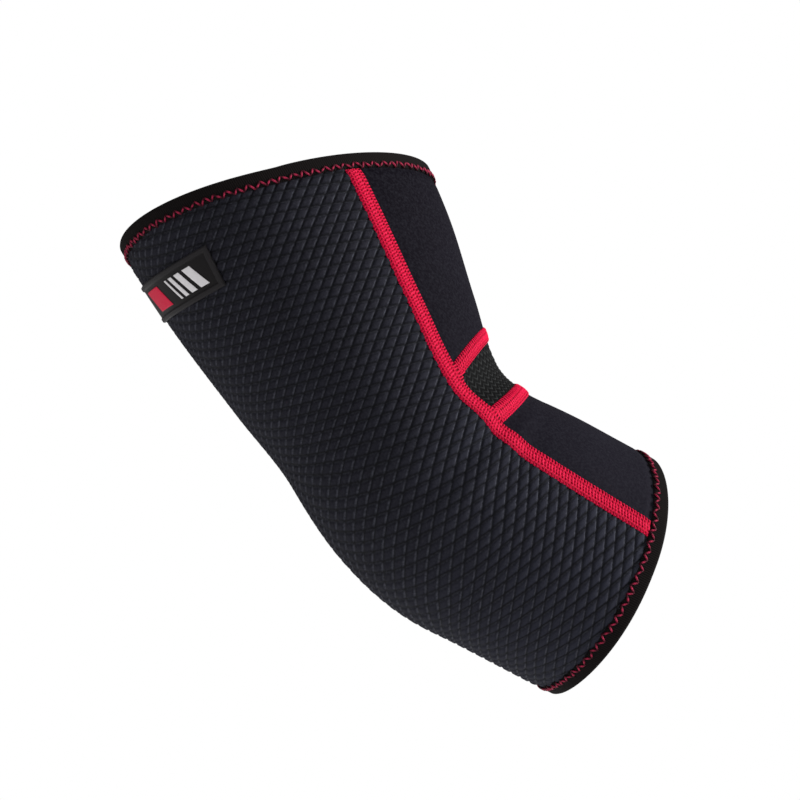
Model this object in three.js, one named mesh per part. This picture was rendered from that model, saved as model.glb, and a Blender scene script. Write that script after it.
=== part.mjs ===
// Elbow brace: a pull-on sleeve of neoprene panels, in the form it has when worn on a slightly bent elbow.
// Lengths are millimetres and angles degrees, with +Z up. The origin is the middle of the bend, inside the
// hollow where the elbow sits. The sleeve is the same on both sides of the plane Y = 0, apart from its label.

import * as THREE from 'three';

// Overall sizes
const bendAngle = 30; // how far the forearm turns from the line of the upper arm
const bendRadius = 90; // of the middle line, round the bend
const crookDirection = 48; // the way the crook of the elbow faces, turned up from +X
const upperLength = 120; // from the middle of the bend to the top rim, along the middle line
const lowerLength = 77; // from the middle of the bend to the lower rim
const topDepth = 117; // the top opening, from its front edge to its back edge
const topWidth = 100; // the top opening, from side to side
const elbowDepth = 92;
const elbowWidth = 92;
const lowerDepth = 96;
const lowerWidth = 90;
const sectionPower = 2.15; // 2 is an oval, and more is a fuller one

// Rims: how far the cut runs out of square
const topSlant = 18; // the front of the top rim is cut back by this, and its back stands out by it
const topSideRise = 1.3; // the sides of the top rim stand out by this, and its front and back are cut back
const lowerSlant = 4.8;
const lowerSideRise = 3.2;
const slantFade = 1.5; // how fast the slant fades from the rim to the elbow

// Cloth, tape, thread and rubber
const neopreneWall = 2.8;
const meshWall = 1.6;
const seamWidth = 6.4; // the band of flatlock stitches along each side
const crookSeamWidth = 5.8; // the bands across the crook
const seamHeight = 0.7;
const tapeWall = 1.0; // the knit tape folded over each rim
const tapeLeg = 6.5; // how far the tape reaches down from the rim
const tapePress = 0.8; // the tape presses each face of the neoprene in by this
const pressReach = 2; // the neoprene stays pressed this far beyond the tape
const pressFade = 5; // and then comes back to its full wall over this
const labelLength = 64; // round the sleeve
const labelHeight = 16; // along the sleeve
const labelWall = 0.8;
const labelRimHeight = 0.5; // the raised rim stands this far above the label's face
const labelRimWidth = 1.7;
const clearance = 0.3; // between pieces that touch on the real thing

// The sections: place runs from -1 at the top rim to 1 at the lower rim, with the bend at 0.
// front, back and side are half widths, as shares of the depth and width of the opening that the row follows.
const top = { depth: topDepth, width: topWidth };
const elbow = { depth: elbowDepth, width: elbowWidth };
const lower = { depth: lowerDepth, width: lowerWidth };
const sections = [
  { place: -1.0, follows: top, front: 0.535, back: 0.463, side: 0.5 },
  { place: -0.75, follows: top, front: 0.496, back: 0.456, side: 0.485 },
  { place: -0.45, follows: top, front: 0.422, back: 0.426, side: 0.47 },
  { place: -0.2, follows: elbow, front: 0.459, back: 0.505, side: 0.5 },
  { place: 0.0, follows: elbow, front: 0.466, back: 0.536, side: 0.5 },
  { place: 0.2, follows: elbow, front: 0.476, back: 0.555, side: 0.5 },
  { place: 0.5, follows: lower, front: 0.471, back: 0.528, side: 0.511 },
  { place: 0.75, follows: lower, front: 0.473, back: 0.526, side: 0.505 },
  { place: 1.0, follows: lower, front: 0.474, back: 0.524, side: 0.5 },
];

// The long seams: their angle round the section, from the front line, at each place.
const longSeam = [
  { place: -1.0, angle: 68.5 },
  { place: -0.5, angle: 71 },
  { place: -0.22, angle: 71.8 },
  { place: -0.05, angle: 70 },
  { place: 0.12, angle: 71.3 },
  { place: 0.5, angle: 75 },
  { place: 1.0, angle: 77.5 },
];

// The two seams across the crook: their place on the front line and where they meet the long seams.
const upperCrookSeam = { atFront: -0.318, atLongSeam: -0.215 };
const lowerCrookSeam = { atFront: 0.045, atLongSeam: 0 };

// The label's middle: how far up the middle line, as a share of the upper length, and its angle
const labelUp = 0.9;
const labelAngle = 166;
const labelTurn = -9; // in its own plane, so that its far end lies nearer the rim

// Facets
const longRows = 30;
const backColumns = 24;
const frontColumns = 16;
const upperFrontRows = 13;
const lowerFrontRows = 10;
const meshRows = 6;
const rimRows = 1.4; // how much closer the rows of a front panel lie at its rim
const tapeColumns = 48;
const tapeCrestSteps = 4;
const labelColumns = 12;
const labelRows = 6;
const sideAngle = 90;
const probe = 1e-3; // the step used to find directions on the surface

const radians = THREE.MathUtils.degToRad;
const mix = THREE.MathUtils.lerp;

const finishes = {
  embossed: { color: 0x1d1e26, roughness: 0.78, metalness: 0 },
  smooth: { color: 0x22232b, roughness: 0.7, metalness: 0 },
  mesh: { color: 0x101012, roughness: 0.85, metalness: 0 },
  thread: { color: 0xd8163a, roughness: 0.6, metalness: 0 },
  tape: { color: 0x151416, roughness: 0.85, metalness: 0 },
  rubber: { color: 0x1b1b1d, roughness: 0.5, metalness: 0 },
};

// A value between the rows of a table, on a smooth curve through all of them.
function between(rows, read, place) {
  const last = rows.length - 2;
  let row = 0;
  while (row < last && place > rows[row + 1].place) row += 1;
  const rise = (k) => (read(rows[k + 1]) - read(rows[k])) / (rows[k + 1].place - rows[k].place);
  const step = (k) => rows[k + 1].place - rows[k].place;
  const slope = (k) => {
    if (k === 0) return rise(0);
    if (k === rows.length - 1) return rise(k - 1);
    return (step(k) * rise(k - 1) + step(k - 1) * rise(k)) / (step(k - 1) + step(k));
  };
  const gap = step(row);
  const t = (place - rows[row].place) / gap;
  const share = 3 * t ** 2 - 2 * t ** 3;
  const slopeAtStart = (t ** 3 - 2 * t ** 2 + t) * gap * slope(row);
  const slopeAtEnd = (t ** 3 - t ** 2) * gap * slope(row + 1);
  return mix(read(rows[row]), read(rows[row + 1]), share) + slopeAtStart + slopeAtEnd;
}

// The middle line: straight along the upper arm, round the bend on an arc, and straight along the forearm.
// It gives the point that lies this far along it, and the direction in which the crook side faces there.
function middleLine(along) {
  const halfBend = radians(bendAngle) / 2;
  const turn = THREE.MathUtils.clamp(along / bendRadius, -halfBend, halfBend);
  const facing = radians(crookDirection);
  const toCrook = new THREE.Vector3(Math.cos(facing), 0, Math.sin(facing));
  const toHand = new THREE.Vector3(Math.sin(facing), 0, -Math.cos(facing));
  const forward = toHand.clone().multiplyScalar(Math.cos(turn)).addScaledVector(toCrook, Math.sin(turn));
  const front = toHand.clone().multiplyScalar(-Math.sin(turn)).addScaledVector(toCrook, Math.cos(turn));
  const point = toHand.clone().multiplyScalar(bendRadius * Math.sin(turn));
  point.addScaledVector(toCrook, bendRadius * (1 - Math.cos(turn)));
  point.addScaledVector(forward, along - turn * bendRadius);
  return { point, front };
}

// How far along the middle line a place lies. A rim is cut out of square, and that fades towards the elbow.
function alongAt(place, angle) {
  const upper = place < 0;
  const length = upper ? upperLength : lowerLength;
  const slant = upper ? topSlant : -lowerSlant;
  const sideRise = upper ? -topSideRise : lowerSideRise;
  const cut = slant * Math.cos(radians(angle)) - sideRise * Math.cos(2 * radians(angle));
  return place * length + Math.abs(place) ** slantFade * cut;
}

// A point on the outer face of the sleeve. The angle is 0 on the front line, over the crook, and 180 on the
// back line. Angles from 0 to 180 are on the -Y side.
function outerFace(place, angle) {
  const turn = radians(angle);
  const frontness = Math.cos(turn);
  const sideness = Math.sin(turn);
  const { point, front } = middleLine(alongAt(place, angle));
  const facing = frontness > 0 ? 'front' : 'back';
  const halfDepth = between(sections, (row) => row[facing] * row.follows.depth, place);
  const halfWidth = between(sections, (row) => row.side * row.follows.width, place);
  const round = (share) => Math.sign(share) * Math.abs(share) ** (2 / sectionPower);
  point.addScaledVector(front, halfDepth * round(frontness));
  point.y -= halfWidth * round(sideness);
  return point;
}

// The directions and scales of the outer face at a point: how far it moves for each unit of place and for
// each degree, and the way out of the sleeve.
function onFace(place, angle) {
  const alongStep = outerFace(place + probe, angle).sub(outerFace(place - probe, angle));
  const roundStep = outerFace(place, angle + 1).sub(outerFace(place, angle - 1));
  const out = new THREE.Vector3().crossVectors(roundStep, alongStep).normalize();
  return { out, perPlace: alongStep.length() / (2 * probe), perDegree: roundStep.length() / 2 };
}

// A point this far outside the outer face, or inside it where the height is negative.
function offFace(place, angle, height) {
  return outerFace(place, angle).addScaledVector(onFace(place, angle).out, height);
}

// The place that lies this far in from a rim, measured on the cloth. The end is -1 at the top and 1 below.
function inFromRim(end, angle, distance) {
  return end - (end * distance) / onFace(end, angle).perPlace;
}

// How deep the tape at the nearer rim presses the cloth in at a point.
function pressAt(place, angle) {
  const end = place < 0 ? -1 : 1;
  const distance = Math.abs(end - place) * onFace(end, angle).perPlace;
  const start = tapeLeg + pressReach;
  return tapePress * (1 - THREE.MathUtils.smoothstep(distance, start, start + pressFade));
}

// The outer and the inner skin of a panel with this wall, where the side is 0 outside and 1 inside.
function panelSkin(place, angle, side, wall) {
  const press = pressAt(place, angle);
  return offFace(place, angle, side ? press - wall : -press);
}

// The lower and the upper skin of a band of stitches on the panels, where the side is 0 on top.
function bandSkin(place, angle, side) {
  return offFace(place, angle, clearance + (1 - side) * seamHeight - pressAt(place, angle));
}

// The angle of the edge of a piece that stops this far short of the long seam's middle, towards the front.
function beforeLongSeam(place, distance) {
  const angle = between(longSeam, (row) => row.angle, place);
  return angle - distance / onFace(place, angle).perDegree;
}

// The place of a crook seam's middle at an angle, moved this far towards the hand.
function crookSeamPlace(seam, angle, shift) {
  const share = (angle / between(longSeam, (row) => row.angle, seam.atLongSeam)) ** 2;
  const place = mix(seam.atFront, seam.atLongSeam, share);
  return place + shift / onFace(place, angle).perPlace;
}

function named(name, geometry, finish) {
  geometry.computeVertexNormals();
  const mesh = new THREE.Mesh(geometry, new THREE.MeshStandardMaterial(finish));
  mesh.name = name;
  return mesh;
}

// A sheet with a wall: a grid of columns and rows on its outer skin, the same grid on its inner skin, and a
// band round its four edges. The skin function gives a point for a column share, a row share and a side,
// where the side is 0 on the outer skin and 1 on the inner one.
function sheet(name, columns, rows, skin, finish) {
  const across = columns + 1;
  const perSkin = across * (rows + 1);
  const positions = [];
  for (const side of [0, 1]) {
    for (let row = 0; row <= rows; row += 1) {
      for (let column = 0; column <= columns; column += 1) {
        positions.push(...skin(column / columns, row / rows, side).toArray());
      }
    }
  }
  const faces = [];
  const quad = (a, b, c, d) => faces.push(a, b, c, a, c, d);
  for (let row = 0; row < rows; row += 1) {
    for (let column = 0; column < columns; column += 1) {
      const corner = row * across + column;
      quad(corner, corner + 1, corner + across + 1, corner + across);
      const inner = corner + perSkin;
      quad(inner, inner + across, inner + across + 1, inner + 1);
    }
  }
  const edge = [];
  for (let column = 0; column < columns; column += 1) edge.push(column);
  for (let row = 0; row < rows; row += 1) edge.push(row * across + columns);
  for (let column = columns; column > 0; column -= 1) edge.push(rows * across + column);
  for (let row = rows; row > 0; row -= 1) edge.push(row * across);
  edge.forEach((corner, k) => {
    const next = edge[(k + 1) % edge.length];
    quad(next, corner, corner + perSkin, next + perSkin);
  });
  const geometry = new THREE.BufferGeometry();
  geometry.setAttribute('position', new THREE.Float32BufferAttribute(positions, 3));
  geometry.setIndex(faces);
  return named(name, geometry, finish);
}

// The neoprene round the back of the arm, from one long seam to the other.
function outerPanel() {
  const edgeGap = clearance / 2;
  const skin = (columnShare, rowShare, side) => {
    const roughPlace = panelPlace(sideAngle, rowShare);
    const start = beforeLongSeam(roughPlace, -edgeGap);
    const angle = mix(start, 360 - start, columnShare);
    return panelSkin(panelPlace(angle, rowShare), angle, side, neopreneWall);
  };
  return sheet('outer_panel', backColumns, longRows, skin, finishes.embossed);
}

// The place of a row of a panel that runs from rim to rim. Both ends stop inside the folded tape, and the
// rows lie closer there, where the tape presses the cloth in.
function panelPlace(angle, rowShare) {
  const rimGap = tapeWall + clearance;
  const share = mix(rowShare, (1 - Math.cos(Math.PI * rowShare)) / 2, 0.5);
  return mix(inFromRim(-1, angle, rimGap), inFromRim(1, angle, rimGap), share);
}

// A panel on the front, between the long seams, from one place to another. Both are functions of the angle,
// and rowPower sets how much closer its rows lie at the first end, or at the last if it is below 1.
function frontPanel(name, rows, rowPower, from, to, wall, finish) {
  const edgeGap = clearance / 2;
  const skin = (columnShare, rowShare, side) => {
    const share = rowPower < 1 ? 1 - (1 - rowShare) ** (1 / rowPower) : rowShare ** rowPower;
    const roughAngle = mix(-1, 1, columnShare) * between(longSeam, (row) => row.angle, 0);
    const roughPlace = mix(from(roughAngle), to(roughAngle), share);
    const edge = beforeLongSeam(roughPlace, edgeGap);
    const angle = mix(-edge, edge, columnShare);
    const place = mix(from(angle), to(angle), share);
    return panelSkin(place, angle, side, wall);
  };
  return sheet(name, frontColumns, rows, skin, finish);
}

function frontPanels() {
  const rimGap = tapeWall + clearance;
  const edgeGap = clearance / 2;
  const topEdge = (angle) => inFromRim(-1, angle, rimGap);
  const lowerEdge = (angle) => inFromRim(1, angle, rimGap);
  const aboveUpperSeam = (angle) => crookSeamPlace(upperCrookSeam, angle, -edgeGap);
  const belowUpperSeam = (angle) => crookSeamPlace(upperCrookSeam, angle, edgeGap);
  const aboveLowerSeam = (angle) => crookSeamPlace(lowerCrookSeam, angle, -edgeGap);
  const belowLowerSeam = (angle) => crookSeamPlace(lowerCrookSeam, angle, edgeGap);
  const { smooth, mesh } = finishes;
  const wall = neopreneWall;
  return [
    frontPanel('upper_front_panel', upperFrontRows, rimRows, topEdge, aboveUpperSeam, wall, smooth),
    frontPanel('crook_mesh', meshRows, 1, belowUpperSeam, aboveLowerSeam, meshWall, mesh),
    frontPanel('lower_front_panel', lowerFrontRows, 1 / rimRows, belowLowerSeam, lowerEdge, wall, smooth),
  ];
}

// The band of red stitches along a long seam, from tape to tape. The side is 1 at -Y and -1 at +Y.
function longSeamBand(name, side) {
  const skin = (columnShare, rowShare, skinSide) => {
    const roughPlace = mix(-1, 1, rowShare);
    const across = mix(-seamWidth / 2, seamWidth / 2, side > 0 ? columnShare : 1 - columnShare);
    const angle = side * beforeLongSeam(roughPlace, -across);
    const from = inFromRim(-1, angle, tapeLeg + clearance);
    const to = inFromRim(1, angle, tapeLeg + clearance);
    return bandSkin(mix(from, to, rowShare), angle, skinSide);
  };
  return sheet(name, 2, longRows, skin, finishes.thread);
}

// The band of red stitches across the crook, between the bands of the long seams.
function crookSeamBand(name, seam) {
  const skin = (columnShare, rowShare, side) => {
    const end = beforeLongSeam(seam.atLongSeam, seamWidth / 2 + clearance);
    const angle = mix(-end, end, columnShare);
    const place = crookSeamPlace(seam, angle, mix(-crookSeamWidth / 2, crookSeamWidth / 2, rowShare));
    return bandSkin(place, angle, side);
  };
  return sheet(name, frontColumns, 2, skin, finishes.thread);
}

// The tape's section, as points of distance in from the rim and height above the outer face: down the inner
// leg, round the fold and up the outer leg, and back along its inner side.
function tapeSection() {
  const fold = tapeWall + clearance;
  const middle = -neopreneWall / 2;
  const halfChannel = neopreneWall / 2 - tapePress + clearance;
  const halfHeight = halfChannel + tapeWall;
  const points = [[tapeLeg, middle - halfHeight]];
  for (let step = 0; step <= tapeCrestSteps; step += 1) {
    const turn = Math.PI * (step / tapeCrestSteps - 0.5);
    points.push([fold * (1 - Math.cos(turn)), middle + halfHeight * Math.sin(turn)]);
  }
  points.push([tapeLeg, middle + halfHeight], [tapeLeg, middle + halfChannel]);
  points.push([tapeWall, middle + halfChannel], [tapeWall, middle - halfChannel]);
  points.push([tapeLeg, middle - halfChannel]);
  return points;
}

// The tape folded over a rim: its section carried round the rim. The end is -1 at the top and 1 below.
function binding(name, end) {
  const section = tapeSection();
  const positions = [];
  for (let column = 0; column < tapeColumns; column += 1) {
    const angle = (360 * column) / tapeColumns;
    section.forEach(([distance, height]) => {
      positions.push(...offFace(inFromRim(end, angle, distance), angle, height).toArray());
    });
  }
  const faces = [];
  for (let column = 0; column < tapeColumns; column += 1) {
    section.forEach((unused, k) => {
      const next = (k + 1) % section.length;
      const here = column * section.length;
      const there = ((column + 1) % tapeColumns) * section.length;
      const corners = [here + k, here + next, there + next, there + k];
      if (end < 0) corners.reverse();
      const [a, b, c, d] = corners;
      faces.push(a, b, c, a, c, d);
    });
  }
  const geometry = new THREE.BufferGeometry();
  geometry.setAttribute('position', new THREE.Float32BufferAttribute(positions, 3));
  geometry.setIndex(faces);
  return named(name, geometry, finishes.tape);
}

// The place that lies this far along the middle line at an angle. Each round of the loop halves the error
// at least, because the cut of a rim is short beside the length.
function placeAt(along, angle) {
  const length = along < 0 ? upperLength : lowerLength;
  let place = along / length;
  for (let round = 0; round < 12; round += 1) place += (along - alongAt(place, angle)) / length;
  return place;
}

// A point on the label, this far round from its middle and this far down from it. The label was cut flat, so
// it lies as a flat strip does on a cone, whose tip is where the taper of the upper arm would end.
function labelPoint(round, down, height) {
  const middleAlong = -labelUp * upperLength;
  const middlePlace = placeAt(middleAlong, labelAngle);
  const scaleAt = (place) => onFace(place, labelAngle).perDegree;
  const taper = (scaleAt(middlePlace) - scaleAt(middlePlace * 0.8)) / (0.2 * labelUp * upperLength);
  const tip = scaleAt(middlePlace) / taper;
  const reach = Math.hypot(round, tip - down);
  const angle = labelAngle + (Math.atan2(round, tip - down) * tip) / scaleAt(middlePlace);
  const place = placeAt(middleAlong + tip - reach, angle);
  return offFace(place, angle, clearance + height);
}

// Where the grid lines of the label lie over one of its sizes: two at each end, at the two sides of the
// raised rim, and the others evenly between.
function labelLine(share, count, size) {
  const line = Math.round(share * count);
  const field = labelRimWidth + labelRimHeight;
  const fromEnd = Math.min(line, count - line);
  if (fromEnd < 3) {
    const inset = [0, labelRimWidth, field][fromEnd];
    return line < 3 ? inset : size - inset;
  }
  return mix(field, size - field, (line - 2) / (count - 4));
}

// The rubber label: a plate bent round the sleeve, with a raised rim.
function label() {
  const turn = radians(labelTurn);
  const skin = (columnShare, rowShare, side) => {
    const x = labelLine(columnShare, labelColumns, labelLength) - labelLength / 2;
    const y = labelLine(rowShare, labelRows, labelHeight) - labelHeight / 2;
    const inset = Math.min(labelLength / 2 - Math.abs(x), labelHeight / 2 - Math.abs(y));
    const rim = inset < labelRimWidth + labelRimHeight / 2 ? labelRimHeight : 0;
    const round = x * Math.cos(turn) - y * Math.sin(turn);
    const down = x * Math.sin(turn) + y * Math.cos(turn);
    return labelPoint(round, down, (1 - side) * (labelWall + rim));
  };
  return sheet('label', labelColumns, labelRows, skin, finishes.rubber);
}

const brace = new THREE.Group();
brace.add(outerPanel(), ...frontPanels());
brace.add(longSeamBand('long_seam_near', 1), longSeamBand('long_seam_far', -1));
brace.add(crookSeamBand('crook_seam_upper', upperCrookSeam));
brace.add(crookSeamBand('crook_seam_lower', lowerCrookSeam));
brace.add(binding('top_binding', -1), binding('lower_binding', 1), label());

export default brace;
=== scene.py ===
"""The looks of a neoprene elbow brace, laid out as a Blender add-on and run as a script.

Lengths inside the surface functions are millimetres and angles degrees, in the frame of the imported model:
+Z up, the origin in the middle of the bend. The meshes are made in metres.
"""

import math

import bmesh
import bpy
import numpy as np
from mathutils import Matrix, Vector


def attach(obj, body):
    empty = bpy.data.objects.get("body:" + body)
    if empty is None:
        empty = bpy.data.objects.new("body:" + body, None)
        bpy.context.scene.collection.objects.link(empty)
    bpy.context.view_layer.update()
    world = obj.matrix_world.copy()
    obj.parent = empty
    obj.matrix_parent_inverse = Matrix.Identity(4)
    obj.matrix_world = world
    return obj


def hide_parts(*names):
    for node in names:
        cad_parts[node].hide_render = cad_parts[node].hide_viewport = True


bl_info = {
    "name": "Elbow brace",
    "version": (1, 0, 0),
    "blender": (4, 5, 0),
    "location": "3D View > Sidebar > Brace",
    "description": "Cloth, stitches, tape and label of a pull-on elbow brace",
    "category": "Object",
}

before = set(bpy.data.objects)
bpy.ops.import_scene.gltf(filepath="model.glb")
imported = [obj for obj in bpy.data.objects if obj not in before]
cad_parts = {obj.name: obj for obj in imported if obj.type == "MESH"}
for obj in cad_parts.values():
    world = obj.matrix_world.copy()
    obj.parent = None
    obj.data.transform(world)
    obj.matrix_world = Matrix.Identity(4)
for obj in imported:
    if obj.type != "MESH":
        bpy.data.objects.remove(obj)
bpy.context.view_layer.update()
METRE = 0.001  # a millimetre in metres

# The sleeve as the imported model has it
BEND_ANGLE, BEND_RADIUS, CROOK_DIRECTION = 30.0, 90.0, 48.0
UPPER_LENGTH, LOWER_LENGTH = 120.0, 77.0
TOP_DEPTH, TOP_WIDTH = 117.0, 100.0
ELBOW_DEPTH, ELBOW_WIDTH = 92.0, 92.0
LOWER_DEPTH, LOWER_WIDTH = 96.0, 90.0
SECTION_POWER = 2.15
TOP_SLANT, TOP_SIDE_RISE = 18.0, 1.3
LOWER_SLANT, LOWER_SIDE_RISE = 4.8, 3.2
SLANT_FADE = 1.5
NEOPRENE_WALL, MESH_WALL = 2.8, 1.6
SEAM_WIDTH, CROOK_SEAM_WIDTH = 6.4, 5.8
TAPE_WALL, TAPE_LEG = 1.0, 6.5
FOLD_HEIGHT = 0.8
FOLD_PLACE, FOLD_REACH = 0.02, 0.2  # where the folds lie along the arm, and how far they spread there
FOLD_ANGLE, FOLD_SPREAD = 78.0, 42.0  # the same round the arm, in degrees
FOLD_COUNT, FOLD_FAN = 4.6, 150.0  # folds to a unit of place, and the degrees round that shift them by one
TAPE_PRESS, PRESS_REACH, PRESS_FADE = 0.55, 0.3, 3.0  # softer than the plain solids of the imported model
LABEL_LENGTH, LABEL_HEIGHT, LABEL_WALL = 64.0, 16.0, 0.8
LABEL_RIM_HEIGHT, LABEL_RIM_WIDTH = 0.5, 1.7
LABEL_UP, LABEL_ANGLE, LABEL_TURN = 0.9, 166.0, -9.0
CLEARANCE = 0.3

# Half widths of the sections in millimetres: (place, front, back, side)
SECTIONS = np.array([
    (place, front * depth, back * depth, side * width)
    for place, depth, width, front, back, side in (
        (-1.0, TOP_DEPTH, TOP_WIDTH, 0.535, 0.463, 0.5),
        (-0.75, TOP_DEPTH, TOP_WIDTH, 0.496, 0.456, 0.485),
        (-0.45, TOP_DEPTH, TOP_WIDTH, 0.422, 0.426, 0.47),
        (-0.2, ELBOW_DEPTH, ELBOW_WIDTH, 0.459, 0.505, 0.5),
        (0.0, ELBOW_DEPTH, ELBOW_WIDTH, 0.466, 0.536, 0.5),
        (0.2, ELBOW_DEPTH, ELBOW_WIDTH, 0.476, 0.555, 0.5),
        (0.5, LOWER_DEPTH, LOWER_WIDTH, 0.471, 0.528, 0.511),
        (0.75, LOWER_DEPTH, LOWER_WIDTH, 0.473, 0.526, 0.505),
        (1.0, LOWER_DEPTH, LOWER_WIDTH, 0.474, 0.524, 0.5),
    )
])
# The long seams: (place, angle from the front line)
LONG_SEAM = np.array([
    (-1.0, 68.5), (-0.5, 71.0), (-0.22, 71.8), (-0.05, 70.0), (0.12, 71.3), (0.5, 75.0), (1.0, 77.5),
])
# The crook seams: (place on the front line, place where they meet the long seams)
UPPER_CROOK_SEAM = (-0.318, -0.215)
LOWER_CROOK_SEAM = (0.045, 0.0)


# The sleeve's surface


def between(places, values, place):
    """Cubic Hermite curve through (places, values), with numpy's gradient as its slopes."""
    slopes = np.gradient(values, places)
    row = np.clip(np.searchsorted(places, place) - 1, 0, len(places) - 2)
    gap = places[row + 1] - places[row]
    t = (place - places[row]) / gap
    rise = values[row] + (values[row + 1] - values[row]) * (3 * t**2 - 2 * t**3)
    return rise + gap * ((t**3 - 2 * t**2 + t) * slopes[row] + (t**3 - t**2) * slopes[row + 1])


def mix(a, b, share):
    """a where the share is 0, b where it is 1."""
    return a + (b - a) * share


def smooth(value, start, end):
    """0 up to start, 1 from end on, and 3t^2 - 2t^3 between."""
    t = np.clip((value - start) / (end - start), 0, 1)
    return t * t * (3 - 2 * t)


def middle_line(along):
    """Straight, an arc of BEND_RADIUS, and straight: the point this far along, and the way to the crook."""
    half = math.radians(BEND_ANGLE) / 2
    turn = np.clip(along / BEND_RADIUS, -half, half)
    facing = math.radians(CROOK_DIRECTION)
    crook = np.array([math.cos(facing), 0, math.sin(facing)])
    hand = np.array([math.sin(facing), 0, -math.cos(facing)])
    cos, sin = np.cos(turn)[..., None], np.sin(turn)[..., None]
    forward = hand * cos + crook * sin
    front = crook * cos - hand * sin
    rest = (along - turn * BEND_RADIUS)[..., None]
    return hand * BEND_RADIUS * sin + crook * BEND_RADIUS * (1 - cos) + forward * rest, front


def along_at(place, angle):
    """How far along the middle line a place lies: place times length, plus the rim's slant, which fades."""
    turn = np.radians(angle)
    upper = place < 0
    cut = np.where(upper, TOP_SLANT, -LOWER_SLANT) * np.cos(turn)
    cut = cut - np.where(upper, -TOP_SIDE_RISE, LOWER_SIDE_RISE) * np.cos(2 * turn)
    return place * np.where(upper, UPPER_LENGTH, LOWER_LENGTH) + np.abs(place) ** SLANT_FADE * cut


def outer_face(place, angle):
    """A superellipse section round the middle line, with its own front, back and side half widths."""
    place, angle = np.broadcast_arrays(np.asarray(place, float), np.asarray(angle, float))
    cos, sin = np.cos(np.radians(angle)), np.sin(np.radians(angle))
    point, front = middle_line(along_at(place, angle))
    places = SECTIONS[:, 0]
    depth = np.where(cos > 0, between(places, SECTIONS[:, 1], place), between(places, SECTIONS[:, 2], place))
    width = between(places, SECTIONS[:, 3], place)
    power = 2 / SECTION_POWER
    point = point + front * (depth * np.sign(cos) * np.abs(cos) ** power)[..., None]
    point[..., 1] -= width * np.sign(sin) * np.abs(sin) ** power
    return point


def unit(vectors):
    """Each vector over its own length."""
    return vectors / np.linalg.norm(vectors, axis=-1, keepdims=True)


def lengths(points, axis=0):
    """How far each point of a line of points lies along it, from 0."""
    steps = np.linalg.norm(np.diff(points, axis=axis), axis=-1)
    return np.insert(np.cumsum(steps, axis), 0, 0.0, axis=axis)


def steps_at(place, angle):
    """The outer face's change for one unit of place and for one degree, by central differences."""
    probe = 1e-3
    along = (outer_face(place + probe, angle) - outer_face(place - probe, angle)) / (2 * probe)
    return along, (outer_face(place, angle + 1) - outer_face(place, angle - 1)) / 2


def out_at(place, angle):
    """The unit normal out of the sleeve: round step cross along step."""
    along, round_step = steps_at(place, angle)
    return unit(np.cross(round_step, along))


def per_place(place, angle):
    """Millimetres along the cloth to a unit of place."""
    return np.linalg.norm(steps_at(place, angle)[0], axis=-1)


def per_degree(place, angle):
    """Millimetres round the cloth to a degree."""
    return np.linalg.norm(steps_at(place, angle)[1], axis=-1)


def folds(place, angle):
    """Soft folds that fan out from the crook: waves along the arm inside a bell round the bend, in mm."""
    beside = (np.abs(angle) - FOLD_ANGLE) / FOLD_SPREAD
    bell = np.exp(-((place - FOLD_PLACE) / FOLD_REACH) ** 2 - beside ** 2)
    return FOLD_HEIGHT * bell * np.sin(2 * np.pi * (place * FOLD_COUNT + np.abs(angle) / FOLD_FAN))


def off_face(place, angle, height):
    """The outer face moved out along its normal by the height and by the folds of the bend."""
    place, angle, height = np.broadcast_arrays(place, angle, height)
    half = np.where(angle > 180, 360 - angle, angle)
    height = height + folds(place, half)
    return outer_face(place, angle) + out_at(place, angle) * height[..., None]


def in_from_rim(end, angle, distance):
    """The place that lies this far in from the rim at end -1 or 1."""
    return end - end * distance / per_place(np.full(np.shape(angle), float(end)), angle)


def press_at(place, angle):
    """How deep the tape presses the cloth in: TAPE_PRESS at the rim, fading beyond the tape."""
    end = np.where(place < 0, -1.0, 1.0)
    distance = np.abs(end - place) * per_place(end, angle)
    start = TAPE_LEG + PRESS_REACH
    return TAPE_PRESS * (1 - smooth(distance, start, start + PRESS_FADE))


def seam_angle(place):
    """The long seam's angle at a place, on a smooth curve through LONG_SEAM."""
    return between(LONG_SEAM[:, 0], LONG_SEAM[:, 1], place)


def before_long_seam(place, distance):
    """The angle that lies this far from the long seam, towards the front."""
    angle = seam_angle(place)
    return angle - distance / per_degree(place, angle)


def crook_seam_place(seam, angle, shift=0.0):
    """A parabola in the angle between the seam's places on the front line and at the long seams."""
    share = (angle / seam_angle(np.asarray(seam[1]))) ** 2
    place = mix(seam[0], seam[1], share)
    return place + shift / per_place(place, angle)


# Meshes from arrays


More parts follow.
